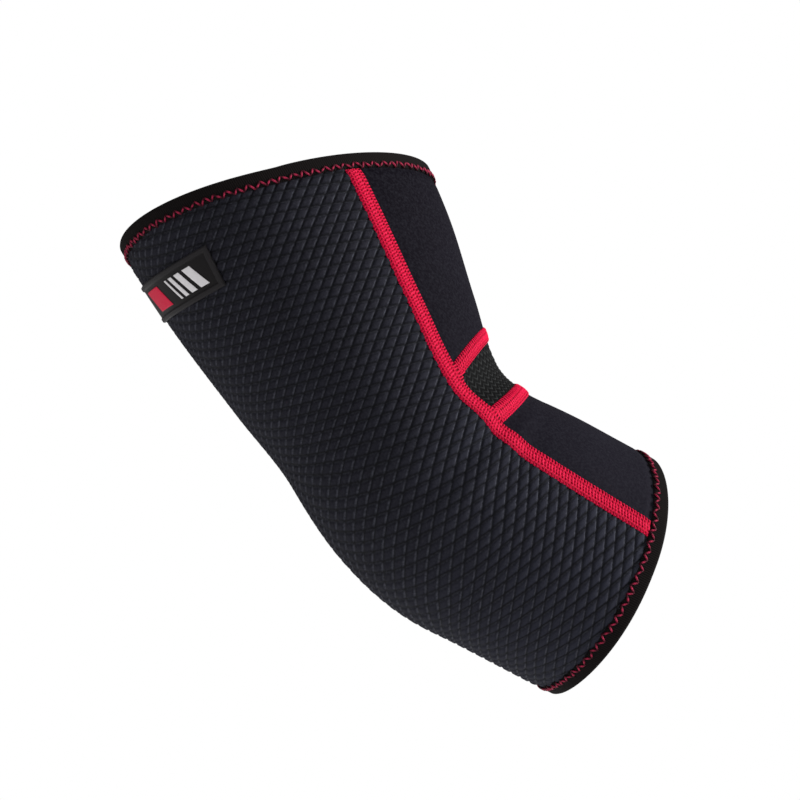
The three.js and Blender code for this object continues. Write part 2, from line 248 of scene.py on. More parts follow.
class Cloth:
    """Collects arrays of points and of faces that index them, and makes one mesh of them."""

    def __init__(self):
        self.points, self.relief, self.faces, self.uvs, self.finishes = [], [], [], [], []
        self.count = 0

    def add(self, points, relief=1.0):
        """Adds an array of points in millimetres and returns the array of their numbers."""
        shape = points.shape[:-1]
        self.points.append(points.reshape(-1, 3))
        self.relief.append(np.broadcast_to(relief, shape).reshape(-1))
        numbers = self.count + np.arange(int(np.prod(shape))).reshape(shape)
        self.count += numbers.size
        return numbers

    def fill(self, numbers, uv, finish=0, turned=False):
        """Quads over a grid of point numbers, with a grid of (u, v) to match."""
        corners = [grid_corners(numbers), grid_corners(uv)]
        if turned:
            corners = [c[:, ::-1] for c in corners]
        self.take(corners[0], corners[1], finish)

    def take(self, faces, uvs, finish=0):
        """Faces as an array of corner numbers, three or four to a face."""
        self.faces.append(faces)
        self.uvs.append(uvs)
        self.finishes.append(np.full(len(faces), finish))

    def take_sound(self, faces, uvs, finish=0):
        """Triangles, or quads as two of them, without those that have a corner twice."""
        if faces.shape[1] == 4:
            for pick in ((0, 1, 2), (0, 2, 3)):
                self.take_sound(faces[:, pick], uvs[:, pick], finish)
            return
        a, b, c = faces.T
        sound = (a != b) & (b != c) & (a != c)
        self.take(faces[sound], uvs[sound], finish)

    def make(self, name, materials):
        """Makes the mesh and its object, with the relief on its points and (u, v) on its corners."""
        points = np.concatenate(self.points) * METRE
        sizes = np.concatenate([np.full(len(faces), faces.shape[1]) for faces in self.faces])
        mesh = bpy.data.meshes.new(name)
        mesh.vertices.add(len(points))
        mesh.vertices.foreach_set("co", points.ravel())
        corners = np.concatenate([faces.ravel() for faces in self.faces])
        mesh.loops.add(len(corners))
        mesh.loops.foreach_set("vertex_index", corners.astype(np.int32))
        mesh.polygons.add(len(sizes))
        mesh.polygons.foreach_set("loop_start", (np.cumsum(sizes) - sizes).astype(np.int32))
        mesh.polygons.foreach_set("material_index", np.concatenate(self.finishes).astype(np.int32))
        mesh.polygons.foreach_set("use_smooth", np.ones(len(sizes), bool))
        layer = mesh.uv_layers.new(name="cloth")
        layer.data.foreach_set("uv", np.concatenate([u.reshape(-1, 2) for u in self.uvs]).ravel())
        relief = mesh.attributes.new("relief", "FLOAT", "POINT")
        relief.data.foreach_set("value", np.concatenate(self.relief).astype(np.float32))
        mesh.update(calc_edges=True)
        if mesh.validate():
            raise ValueError(name + " has faces that are not sound")
        for material in materials:
            mesh.materials.append(material)
        made = bpy.data.objects.new(name, mesh)
        bpy.context.scene.collection.objects.link(made)
        return made


def grid_corners(grid):
    """The four corners of each cell of a grid, in turn."""
    return np.stack([grid[:-1, :-1], grid[:-1, 1:], grid[1:, 1:], grid[1:, :-1]], 2).reshape(
        -1, 4, *grid.shape[2:])


def pair(u, v):
    """u and v side by side, as an array of (u, v)."""
    return np.stack(np.broadcast_arrays(u, v), -1)


def rim_of(grid):
    """The border of a grid, once round."""
    return np.concatenate([grid[0, :-1], grid[:-1, -1], grid[-1, :0:-1], grid[::-1, 0]])


def walled(name, skin, columns, rows, materials):
    """A sheet with a wall. skin(column share, row share, side) gives points, relief and (u, v)."""
    across, down = np.meshgrid(np.linspace(0, 1, columns + 1), np.linspace(0, 1, rows + 1))
    cloth = Cloth()
    outer, relief, uv = skin(across, down, 0)
    inner, inner_relief, inner_uv = skin(across, down, 1)
    top = cloth.add(outer, relief)
    under = cloth.add(inner, inner_relief)
    cloth.fill(top, uv)
    cloth.fill(under, inner_uv, len(materials) - 1, turned=True)
    edge = np.stack([rim_of(under), rim_of(top)])
    edge_uv = np.stack([rim_of(inner_uv), rim_of(uv)])
    cloth.fill(edge, edge_uv)
    return cloth.make(name, materials)


def tube(name, rings, relief, uv, materials, closed=False):
    """A closed section carried along a path. rings is (path, section, 3), and an open path gets caps."""
    cloth = Cloth()
    numbers = cloth.add(rings, relief)
    numbers = np.concatenate([numbers, numbers[:, :1]], 1)
    if closed:
        numbers = np.concatenate([numbers, numbers[:1]], 0)
    cloth.fill(numbers, uv)
    if not closed:
        for row, order in ((0, 1), (-1, -1)):
            middle = cloth.add(rings[row].mean(0)[None], 1.0)
            ring, ring_uv = numbers[row][::order], uv[row][::order]
            faces = np.stack([ring[1:], ring[:-1], np.full(len(ring) - 1, middle[0])], 1)
            cloth.take(faces, np.stack([ring_uv[1:], ring_uv[:-1], ring_uv[:-1]], 1))
    return cloth.make(name, materials)


# Materials


FOREARM_RISE, FOREARM_START = 90.0, 0.35  # the mm of X over which the painted light and shade grow towards the hand, and its share at X = 0


def by_node(operation, swapped=False):
    """A method of Number that adds a Math node, with the number as its first input, or last if swapped."""

    def method(self, *others):
        values = [self, *others]
        if swapped:
            values.reverse()
        node = self.finish.node("ShaderNodeMath", {"operation": operation}, dict(enumerate(values)))
        return Number(self.finish, node.outputs[0])

    return method


class Number:
    """A number inside a material: arithmetic on it adds Math nodes."""

    def __init__(self, finish, socket):
        self.finish, self.socket = finish, socket

    __add__ = by_node("ADD")
    __radd__ = by_node("ADD")
    __sub__ = by_node("SUBTRACT")
    __rsub__ = by_node("SUBTRACT", swapped=True)
    __mul__ = by_node("MULTIPLY")
    __truediv__ = by_node("DIVIDE")
    __pow__ = by_node("POWER")
    __abs__ = by_node("ABSOLUTE")
    above = by_node("GREATER_THAN")
    below = by_node("LESS_THAN")
    low = by_node("MINIMUM")
    high = by_node("MAXIMUM")
    sine = by_node("SINE")
    part = by_node("FRACT")

    def share(self):
        """Kept between 0 and 1."""
        return self.high(0.0).low(1.0)

    def over(self, start, gain):
        """How far this is over the start, times the gain, and 0 below it."""
        return ((self - start) * gain).high(0.0)


class Finish:
    """One material: a Principled shader, and one method that adds any other node."""

    def __init__(self, name, **constants):
        self.material = bpy.data.materials.new(name)
        self.material.use_nodes = True
        self.tree = self.material.node_tree
        self.tree.nodes.clear()
        self.shader = self.node("ShaderNodeBsdfPrincipled", {}, constants)
        self.node("ShaderNodeOutputMaterial", {}, {"Surface": self.shader.outputs[0]})

    def node(self, kind, settings=None, inputs=None):
        """Adds a node, sets its settings, and feeds its inputs by name or number."""
        made = self.tree.nodes.new(kind)
        for name, value in (settings or {}).items():
            setattr(made, name, value)
        for key, value in (inputs or {}).items():
            self.feed(made.inputs[key], value)
        return made

    def feed(self, socket, value):
        """Links a number or another socket to this one, or sets a plain value on it."""
        if isinstance(value, Number):
            value = value.socket
        if isinstance(value, bpy.types.NodeSocket):
            self.tree.links.new(value, socket)
        else:
            socket.default_value = value

    def relief(self):
        """The piece's own relief: 0 in its grooves, gaps and holes, and 1 on top."""
        return Number(self, self.node("ShaderNodeAttribute", {"attribute_name": "relief"}).outputs["Fac"])

    def cloth(self):
        """The piece's own (u, v): millimetres round or across it, and along. The zigzag's are in turns."""
        uv = self.node("ShaderNodeUVMap", {"uv_map": "cloth"}).outputs[0]
        split = self.node("ShaderNodeSeparateXYZ", {}, {0: uv})
        return Number(self, split.outputs[0]), Number(self, split.outputs[1])

    def places(self):
        """Object coordinates in millimetres, as a vector socket."""
        spot = self.node("ShaderNodeTexCoord").outputs["Object"]
        scaled = self.node("ShaderNodeVectorMath", {"operation": "SCALE"}, {0: spot, "Scale": 1 / METRE})
        return scaled.outputs[0]

    def forearm(self):
        """From 0 on the upper arm to 1 near the hand, by the Object X coordinate: how strong the painted
        light and shade are.
        """
        split = self.node("ShaderNodeSeparateXYZ", {}, {0: self.places()})
        return (Number(self, split.outputs[0]) / FOREARM_RISE + FOREARM_START).share()

    def noise(self, size, detail=2.0, rough=0.5):
        """Noise with features of this size in millimetres."""
        node = self.node("ShaderNodeTexNoise", {}, {
            "Vector": self.places(), "Scale": 1 / size, "Detail": detail, "Roughness": rough})
        return Number(self, node.outputs["Fac"])

    def blend(self, share, a, b):
        """Colour a where the share is 0 and colour b where it is 1."""
        node = self.node("ShaderNodeMix", {"data_type": "RGBA"}, {0: share, 6: a, 7: b})
        return node.outputs[2]

    def bump(self, height, distance):
        """Bump from a height of 0 to 1, the distance in millimetres."""
        return self.node("ShaderNodeBump", {}, {
            "Height": height, "Distance": distance * METRE, "Strength": 1.0}).outputs[0]

    def set(self, **links):
        """Feeds the shader's sockets, each named with _ for a space, and returns the material."""
        for name, value in links.items():
            self.feed(self.shader.inputs[name.replace("_", " ").title()], value)
        return self.material


def colour(value):
    """A colour property as the four numbers that a socket takes."""
    return (value[0], value[1], value[2], 1.0)


def knit(finish, pitch_round, pitch_along):
    """Fine knit: small V stitches in rows, 0 in the gaps and 1 on the yarn."""
    across, along = finish.cloth()
    lean = abs((across / pitch_round).part() - 0.5)
    rows = ((along / pitch_along + lean) * (2 * math.pi)).sine()
    wales = ((across / pitch_round) * (2 * math.pi)).sine()
    return (rows * 0.35 + wales * 0.15 + 0.5).high(0.0)


# Where the painted highlight line beside a groove lies and half its width, in shares of a pad, and the
# painted shade edge's
HIGHLIGHT_AT, HIGHLIGHT_HALF = 0.06, 0.14
SHADE_AT, SHADE_HALF = -0.06, 0.24
HIGHLIGHT_FADE = 3.5  # the painted highlight line is whole beyond 1 / 3.5 of a pad from where two grooves cross
SHALLOW_SHARE = 0.45  # how strong the second family's painted highlight line is beside the first's


def from_groove(count):
    """The share of a pad past the nearest groove, from -0.5 to 0.5, where grooves lie at whole counts."""
    return (count + 0.5).part() - 0.5


def strip(share, middle, half):
    """1 in the middle, and 0 from half the width on, in a straight line between."""
    return (1.0 - abs(share - middle) / half).high(0.0)


def embossed_finish(hues, pad_length, pad_width):
    """Charcoal knit with painted shade in the grooves between its pads, a fine nap, painted light towards the
    hand, and painted highlights beside the grooves.

    A groove lies where x / length - y / width, or their sum, is a whole number. A painted highlight line runs
    beside each, strong in the first family, and a painted shade edge on the other side of each groove of the
    second."""
    finish = Finish("embossed_knit", **{
        "Roughness": 0.7, "Specular IOR Level": 0.04, "Coat Roughness": 0.45})
    relief = finish.relief()
    grain = finish.noise(0.9, detail=3.0, rough=0.65)
    patches = finish.noise(14.0)
    forearm = finish.forearm()
    # Painted shade: the colour darkens into the grooves, whatever the light.
    base = finish.blend(relief ** 2.3, colour(hues.groove), colour(hues.embossed))
    # Painted light: lighter towards the hand; the noise patches are the cloth's own uneven tone.
    base = finish.blend((patches * 0.4 + forearm * 0.75) * relief, base, colour(hues.embossed_patches_and_painted_light))
    base = finish.blend(grain.over(0.42, 1.6) * relief, base, colour(hues.nap))
    across, along = finish.cloth()
    rising = from_groove(across / pad_length - along / pad_width)
    falling = from_groove(across / pad_length + along / pad_width)
    # Painted highlight lines beside the grooves, strongest in the steep family.
    steep_line = strip(rising, HIGHLIGHT_AT, HIGHLIGHT_HALF) * (abs(falling) * HIGHLIGHT_FADE).low(1.0)
    shallow_line = strip(falling, HIGHLIGHT_AT, HIGHLIGHT_HALF) * (abs(rising) * HIGHLIGHT_FADE).low(1.0)
    # Painted shade along one side of each shallow groove, stronger towards the hand.
    shade = strip(falling, SHADE_AT, SHADE_HALF) * (forearm * 0.95 + 0.15)
    base = finish.blend(shade, base, colour(hues.groove))
    painted_highlight = (steep_line + shallow_line * SHALLOW_SHARE) * grain.over(0.1667, 2.4)
    base = finish.blend((painted_highlight * (0.8 + forearm * 0.2)).share(), base, colour(hues.groove_gloss_and_painted_highlight))
    bump = knit(finish, 0.55, 0.45) * 0.5 + grain * 0.5
    # A thin clear coat in the grooves: real gloss, which the lights catch.
    groove_gloss_and_painted_highlight = (1.0 - relief) ** 1.5 * 0.1
    return finish.set(Base_Color=base, Roughness=0.62 + grain * 0.2, Coat_Weight=groove_gloss_and_painted_highlight,
                      Normal=finish.bump(bump, 0.12))


def smooth_finish(hues):
    """Matt jersey: a fine V knit and a faint nap, a little lighter than the embossed cloth, with painted
    light towards the hand.
    """
    finish = Finish("smooth_jersey", **{
        "Roughness": 0.65, "Specular IOR Level": 0.02, "Sheen Weight": 0.003, "Sheen Roughness": 0.35})
    weave = knit(finish, 0.7, 0.5)
    grain = finish.noise(1.0, detail=3.0, rough=0.6)
    patches = finish.noise(22.0)
    # Painted light: lighter towards the hand; the noise patches are the cloth's own uneven tone.
    tone = (patches - 0.5) * 0.5 + finish.forearm()
    base = finish.blend(tone.share(), colour(hues.smooth), colour(hues.smooth_patches_and_painted_light))
    base = finish.blend(weave * 0.08 + grain.over(0.4, 0.9), base, colour(hues.nap))
    return finish.set(Base_Color=base, Roughness=0.55 + grain * 0.2,
                      Normal=finish.bump(weave * 0.6 + grain * 0.4, 0.08))


def lining_finish(hues):
    """The inner jersey: plain and dark."""
    finish = Finish("lining_jersey", **{"Roughness": 0.85, "Specular IOR Level": 0.05})
    weave = knit(finish, 0.9, 0.7)
    grain = finish.noise(0.8)
    base = finish.blend(weave * 0.5 + grain * 0.3, colour(hues.lining), colour(hues.nap))
    return finish.set(Base_Color=base, Normal=finish.bump(weave, 0.1))


def mesh_finish(hues):
    """Black knit: dark grey on its ribs, with painted shade, near black, in its holes."""
    finish = Finish("knit_mesh", **{"Roughness": 0.75, "Specular IOR Level": 0.06})
    relief = finish.relief()
    grain = finish.noise(0.4, detail=3.0)
    # Painted shade: near black in the holes, by the relief.
    base = finish.blend(relief ** 1.5, colour(hues.mesh_hole_shade), colour(hues.mesh))
    return finish.set(Base_Color=base, Roughness=0.6 + grain * 0.25, Normal=finish.bump(grain, 0.08))


def thread_finish(hues):
    """Shiny red polyester, with painted shade in the gaps between its loops and a painted highlight on their
    tops.
    """
    finish = Finish("red_thread", **{"Roughness": 0.45, "Specular IOR Level": 0.07})
    across, along = finish.cloth()
    relief = finish.relief()
    strands = ((across * 4.5 + along * 9.0) * (2 * math.pi)).sine() * 0.5 + 0.5
    grain = finish.noise(0.7)
    # Painted shade: the colour darkens into the gaps between the loops.
    base = finish.blend(relief.low(1.0) ** 1.3, colour(hues.red_gap_shade), colour(hues.red))
    # Painted highlight on the tops of the loops, broken by the strands and the grain.
    tops = relief.over(0.7, 3.0)
    base = finish.blend(tops * (strands * 0.35 + grain * 0.3), base, colour(hues.red_painted_highlight))
    return finish.set(Base_Color=base, Roughness=0.38 + strands * 0.2, Normal=finish.bump(strands, 0.04))


LIT_HALF = 0.3846  # half of the part of a zigzag's leg that gets the painted highlight, as a share of the leg


def zigzag_finish(hues):
    """Thin crimson thread, duller than the seams: a painted highlight in the middle of each leg, and painted
    shade where it dips.
    """
    finish = Finish("zigzag_thread", **{"Roughness": 0.5, "Specular IOR Level": 0.12})
    grain = finish.noise(1.2)
    around, turns = finish.cloth()
    twist = ((turns * 9.0 + around) * (2 * math.pi)).sine() * 0.5 + 0.5
    # Painted highlight mid leg and painted shade at the points, broken by grain.
    mid_leg = strip((turns * 2.0).part(), 0.5, LIT_HALF)
    light = mid_leg + grain * 0.7 - 0.4
    base = finish.blend(light.share(), colour(hues.zigzag_painted_shade), colour(hues.zigzag))
    return finish.set(Base_Color=base, Normal=finish.bump(twist, 0.05))


RIB_PITCH = 0.8  # of the tape's ribs, in mm


def tape_finish(hues):
    """Fine ribs across the tape, with painted shade between them, and its knit edge."""
    finish = Finish("binding_tape", **{"Roughness": 0.8, "Specular IOR Level": 0.04})
    across, along = finish.cloth()
    ribs = (along * (2 * math.pi / RIB_PITCH) + (across * 5.0).sine() * 0.4).sine() * 0.5 + 0.5
    grain = finish.noise(0.5, detail=3.0)
    # Painted shade between the ribs, over the ribs' bump.
    base = finish.blend(ribs * 0.6 + grain * 0.3, colour(hues.tape_dark), colour(hues.tape))
    return finish.set(Base_Color=base, Roughness=0.7 + grain * 0.2,
                      Normal=finish.bump(ribs * 0.7 + grain * 0.3, 0.12))


def rubber_finish(hues):
    """Matt moulded rubber, with a painted highlight on its raised rim, and painted bars: white ones, and a
    red block.
    """
    finish = Finish("label_rubber", **{"Roughness": 0.5, "Specular IOR Level": 0.1})
    across, along = finish.cloth()
    lean = across + along * BAR_LEAN
    white, red = 0.0, 0.0
    inside = abs(along).below(BAR_HALF_HEIGHT)
    for start, width in WHITE_BARS:
        white = lean.above(start) * lean.below(start + width) * inside + white
    red = lean.above(RED_BLOCK[0]) * lean.below(RED_BLOCK[0] + RED_BLOCK[1]) * inside + red
    grain = finish.noise(0.6, detail=3.0)
    wear = finish.noise(3.0, detail=3.0)
    # Painted highlight on the raised rim, by the relief; the grain gives the rubber's own specks.
    base = finish.blend(finish.relief() * 0.6 + grain * 0.2, colour(hues.rubber), colour(hues.rubber_specks_and_painted_rim_highlight))
    base = finish.blend(white * (0.88 + wear * 0.12), base, colour(hues.bar))
    base = finish.blend(red, base, colour(hues.block))
    return finish.set(Base_Color=base, Roughness=0.42 + grain * 0.18, Normal=finish.bump(grain, 0.04))


def floor_finish():
    """Plain pale floor with a faint unevenness."""
    finish = Finish("pale_floor", **{
        "Roughness": 0.9, "Specular IOR Level": 0.1,
        "Emission Color": (1.0, 1.0, 1.0, 1.0), "Emission Strength": 0.13})
    tone = finish.noise(300.0, detail=1.0)
    return finish.set(Base_Color=finish.blend(tone, (0.93, 0.93, 0.93, 1.0), (0.96, 0.96, 0.96, 1.0)))


# Settings


def tint(name, text, value):
    """A colour, in linear light."""
    return bpy.props.FloatVectorProperty(
        name=name, description=text, default=value, size=3, min=0.0, max=1.0, subtype="COLOR")


def size(name, text, value):
    """A length in metres whose default is given in millimetres."""
    return bpy.props.FloatProperty(
        name=name, description=text, default=value * METRE, min=0.0, unit="LENGTH", precision=5)


class BraceSizes(bpy.types.PropertyGroup):
    pad_length: size("Pad length", "The long diagonal of an embossed pad, round the sleeve", 8.1)
    pad_width: size("Pad width", "The short diagonal of an embossed pad, along the sleeve", 4.1)
    pad_height: size("Pad height", "How far a pad stands above the grooves round it", 0.8)
    pad_edge: size("Pad edge", "How far in from a groove a pad reaches its full height", 1.05)
    stitch_pitch: size("Stitch pitch", "From one loop of a flatlock seam to the next", 1.25)
    zigzag_pitch: size("Zigzag pitch", "From one point of the zigzag to the next on the same side", 4.1)
    zigzag_height: size("Zigzag height", "Across the zigzag, from point to point", 2.3)
    zigzag_thread: size("Zigzag thread", "Thickness of the zigzag's thread", 0.72)
    mesh_pitch: size("Mesh pitch", "From one rib of the crook's knit to the next", 2.7)


class BraceColours(bpy.types.PropertyGroup):
    embossed: tint("Embossed cloth", "The top of the pads", (0.0118, 0.0112, 0.0156))
    # Painted light towards the hand, and the cloth's own lighter patches.
    embossed_patches_and_painted_light: tint("Embossed patches and painted light", "Faint lighter patches, and painted light towards the hand", (0.0255, 0.0268, 0.04))
    # Painted shade: the colour of the grooves, and of the dark edge beside the shallow ones.
    groove: tint("Painted groove shade", "The grooves between the pads", (0.0025, 0.0025, 0.0035))
    # Painted highlight: the light lines beside the grooves.
    groove_gloss_and_painted_highlight: tint("Painted groove highlight", "Light lines beside the grooves", (0.066, 0.068, 0.088))
    nap: tint("Nap", "Lighter fibres of the knit", (0.034, 0.034, 0.043))
    smooth: tint("Smooth cloth", "The jersey of the front panels", (0.0022, 0.0012, 0.0034))
    # Painted light towards the hand, and the cloth's own lighter patches.
    smooth_patches_and_painted_light: tint("Smooth patches and painted light", "Faint lighter patches, and painted light towards the hand", (0.0095, 0.0084, 0.0132))
    lining: tint("Lining", "The jersey inside", (0.012, 0.012, 0.014))
    mesh: tint("Knit mesh", "The ribs of the crook's knit", (0.036, 0.038, 0.038))
    # Painted shade in the holes of the knit.
    mesh_hole_shade: tint("Painted mesh hole shade", "The holes of the crook's knit", (0.002, 0.002, 0.0022))
    red: tint("Red thread", "The flatlock seams", (0.8, 0.001, 0.044))
    # Painted highlight on the red loops.
    red_painted_highlight: tint("Red painted highlight", "Painted highlight on the tops of the red loops", (1.0, 0.05, 0.16))
    # Painted shade in the gaps of the flatlock seams.
    red_gap_shade: tint("Red gap painted shade", "The gaps between the red loops", (0.07, 0.0, 0.005))
    # The zigzag's lit colour, its painted highlight mid leg; the next colour is its painted shade.
    zigzag: tint("Zigzag", "The zigzag thread", (0.4, 0.02, 0.065))
    zigzag_painted_shade: tint("Zigzag painted shade", "The zigzag thread where it dips in", (0.035, 0.002, 0.007))
    tape: tint("Tape", "The ribs of the binding", (0.0135, 0.0108, 0.0105))
    # Painted shade between the tape's ribs.
    tape_dark: tint("Tape shade", "Between the ribs of the binding", (0.003, 0.0025, 0.0025))
    rubber: tint("Rubber", "The label", (0.0078, 0.0068, 0.0074))
    # Painted highlight on the label's rim, and its own lighter specks.
    rubber_specks_and_painted_rim_highlight: tint("Rubber specks and painted rim highlight", "Lighter specks, and painted highlight on the raised rim", (0.024, 0.0222, 0.024))
    bar: tint("Bar", "The white bars on the label", (0.78, 0.76, 0.78))
    block: tint("Block", "The red block on the label", (0.62, 0.01, 0.05))


class BraceStage(bpy.types.PropertyGroup):
    floor_drop: bpy.props.FloatProperty(
        name="Floor", description="How far the floor lies under the brace's middle",
        default=0.26, min=0.15, unit="LENGTH")
    key_strength: bpy.props.FloatProperty(
        name="Key light", description="Strength of the light from the hand side", default=4.3, min=0.0)
    top_strength: bpy.props.FloatProperty(
        name="Top light", description="Strength of the broad light from above", default=0.9, min=0.0)
    world_strength: bpy.props.FloatProperty(
        name="Surroundings", description="Strength of the light from all round", default=0.2, min=0.0)


def mm(length):
    """A length property in millimetres."""
    return length / METRE


def keep(made, slot, *nodes):
    """Rides on the one body and stands for the CAD nodes, whose parts it hides. The slot is not used."""
    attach(made, "root")
    if nodes:
        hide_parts(*nodes)
    return made


# The embossed panel


def look_up(table, row, column):
    """Bilinear look-up in a table at fractional row and column numbers, kept just short of the last ones."""
    row, column = (np.clip(number, 0, count - 1.000001) for number, count in zip((row, column), table.shape))
    r, c = row.astype(int), column.astype(int)
    fr, fc = row - r, column - c
    return mix(mix(table[r, c], table[r, c + 1], fc), mix(table[r + 1, c], table[r + 1, c + 1], fc), fr)


class FlatCut:
    """The embossed panel as it lay flat. x is the length round from the back line, y the length along.

    y mixes the distance along the middle line with the true length along the cloth, and leans with x, so that
    the pattern turns a little less than the arm does at the bend. Below the bend the cloth is stretched round
    the arm and drawn together along it, so x is divided and y multiplied there."""

    TRUE_SHARE = 0.4
    LEAN = math.tan(math.radians(5.0))
    SOFT = 12.0  # mm over which the lean begins, on either side of the back line
    BEND_SPAN = (-40.0, 40.0)  # the y over which the stretch of the forearm begins
    FOREARM_STRETCH, FOREARM_SHRINK = 1.26, 1.05
    PLACES = np.linspace(-1.03, 1.03, 413)
    ANGLES = np.linspace(0.0, 180.0, 181)
    ROUND_STEPS = 240  # of the table that gives the angle from the share of the way round
    GUESS, CORRECTIONS = 100.0, 14  # mm to a unit of place at first, and how often the place is mended

    def __init__(self):
        place, angle = np.meshgrid(self.PLACES, self.ANGLES, indexing="ij")
        points = outer_face(place, angle)
        length = lengths(points, axis=1)
        self.x = length[:, -1:] - length
        true = lengths(points)
        true -= true[len(self.PLACES) // 2]
        lean = self.LEAN * (np.sqrt(self.x**2 + self.SOFT**2) - self.SOFT)
        self.y = mix(along_at(place, angle), true, self.TRUE_SHARE) + lean
        forearm = smooth(self.y, *self.BEND_SPAN)
        self.x = self.x * mix(1.0, 1 / self.FOREARM_STRETCH, forearm)
        self.y = self.y * mix(1.0, self.FOREARM_SHRINK, forearm)
        self.slope = np.gradient(self.y, self.PLACES, axis=0)
        shares = np.linspace(0, 1, self.ROUND_STEPS + 1)
        self.angle_of = np.stack([np.interp(shares, row[::-1] / row[0], self.ANGLES[::-1]) for row in self.x])
        self.round = self.x[:, 0]
        self.step = self.PLACES[1] - self.PLACES[0]

    def row(self, place):
        """The fractional row of the tables that a place lies at."""
        return (place - self.PLACES[0]) / self.step

    def flat(self, place, angle):
        """(x, y) of a place and an angle from 0 to 180."""
        return look_up(self.x, self.row(place), angle), look_up(self.y, self.row(place), angle)

    def spot(self, x, y):
        """The place and the angle of (x, y), found by Newton steps in the place."""
        place = y / self.GUESS
        for _ in range(self.CORRECTIONS):
            place = np.clip(place, self.PLACES[0], self.PLACES[-1])
            row = self.row(place)
            total = np.interp(place, self.PLACES, self.round)
            angle = look_up(self.angle_of, row, x / total * self.ROUND_STEPS)
            place = place + (y - look_up(self.y, row, angle)) / look_up(self.slope, row, angle)
        return place, angle


def pad_relief(x, y, pad_length, pad_width, edge):
    """Diamond lattice: two families of grooves, x / length + y / width and x / length - y / width whole.

    The relief is 0 in a groove and rises to 1 over the edge width, as 1 - (1 - t)^2 towards each groove."""
    lean = math.atan2(pad_width, pad_length)
    spacing = pad_length * math.sin(lean)
    relief = np.ones_like(x)
    for sign in (1, -1):
        share = x / pad_length + sign * y / pad_width
        distance = np.abs(share - np.round(share)) * spacing
        relief = relief * (1 - (1 - np.clip(distance / edge, 0, 1)) ** 2)
    return relief


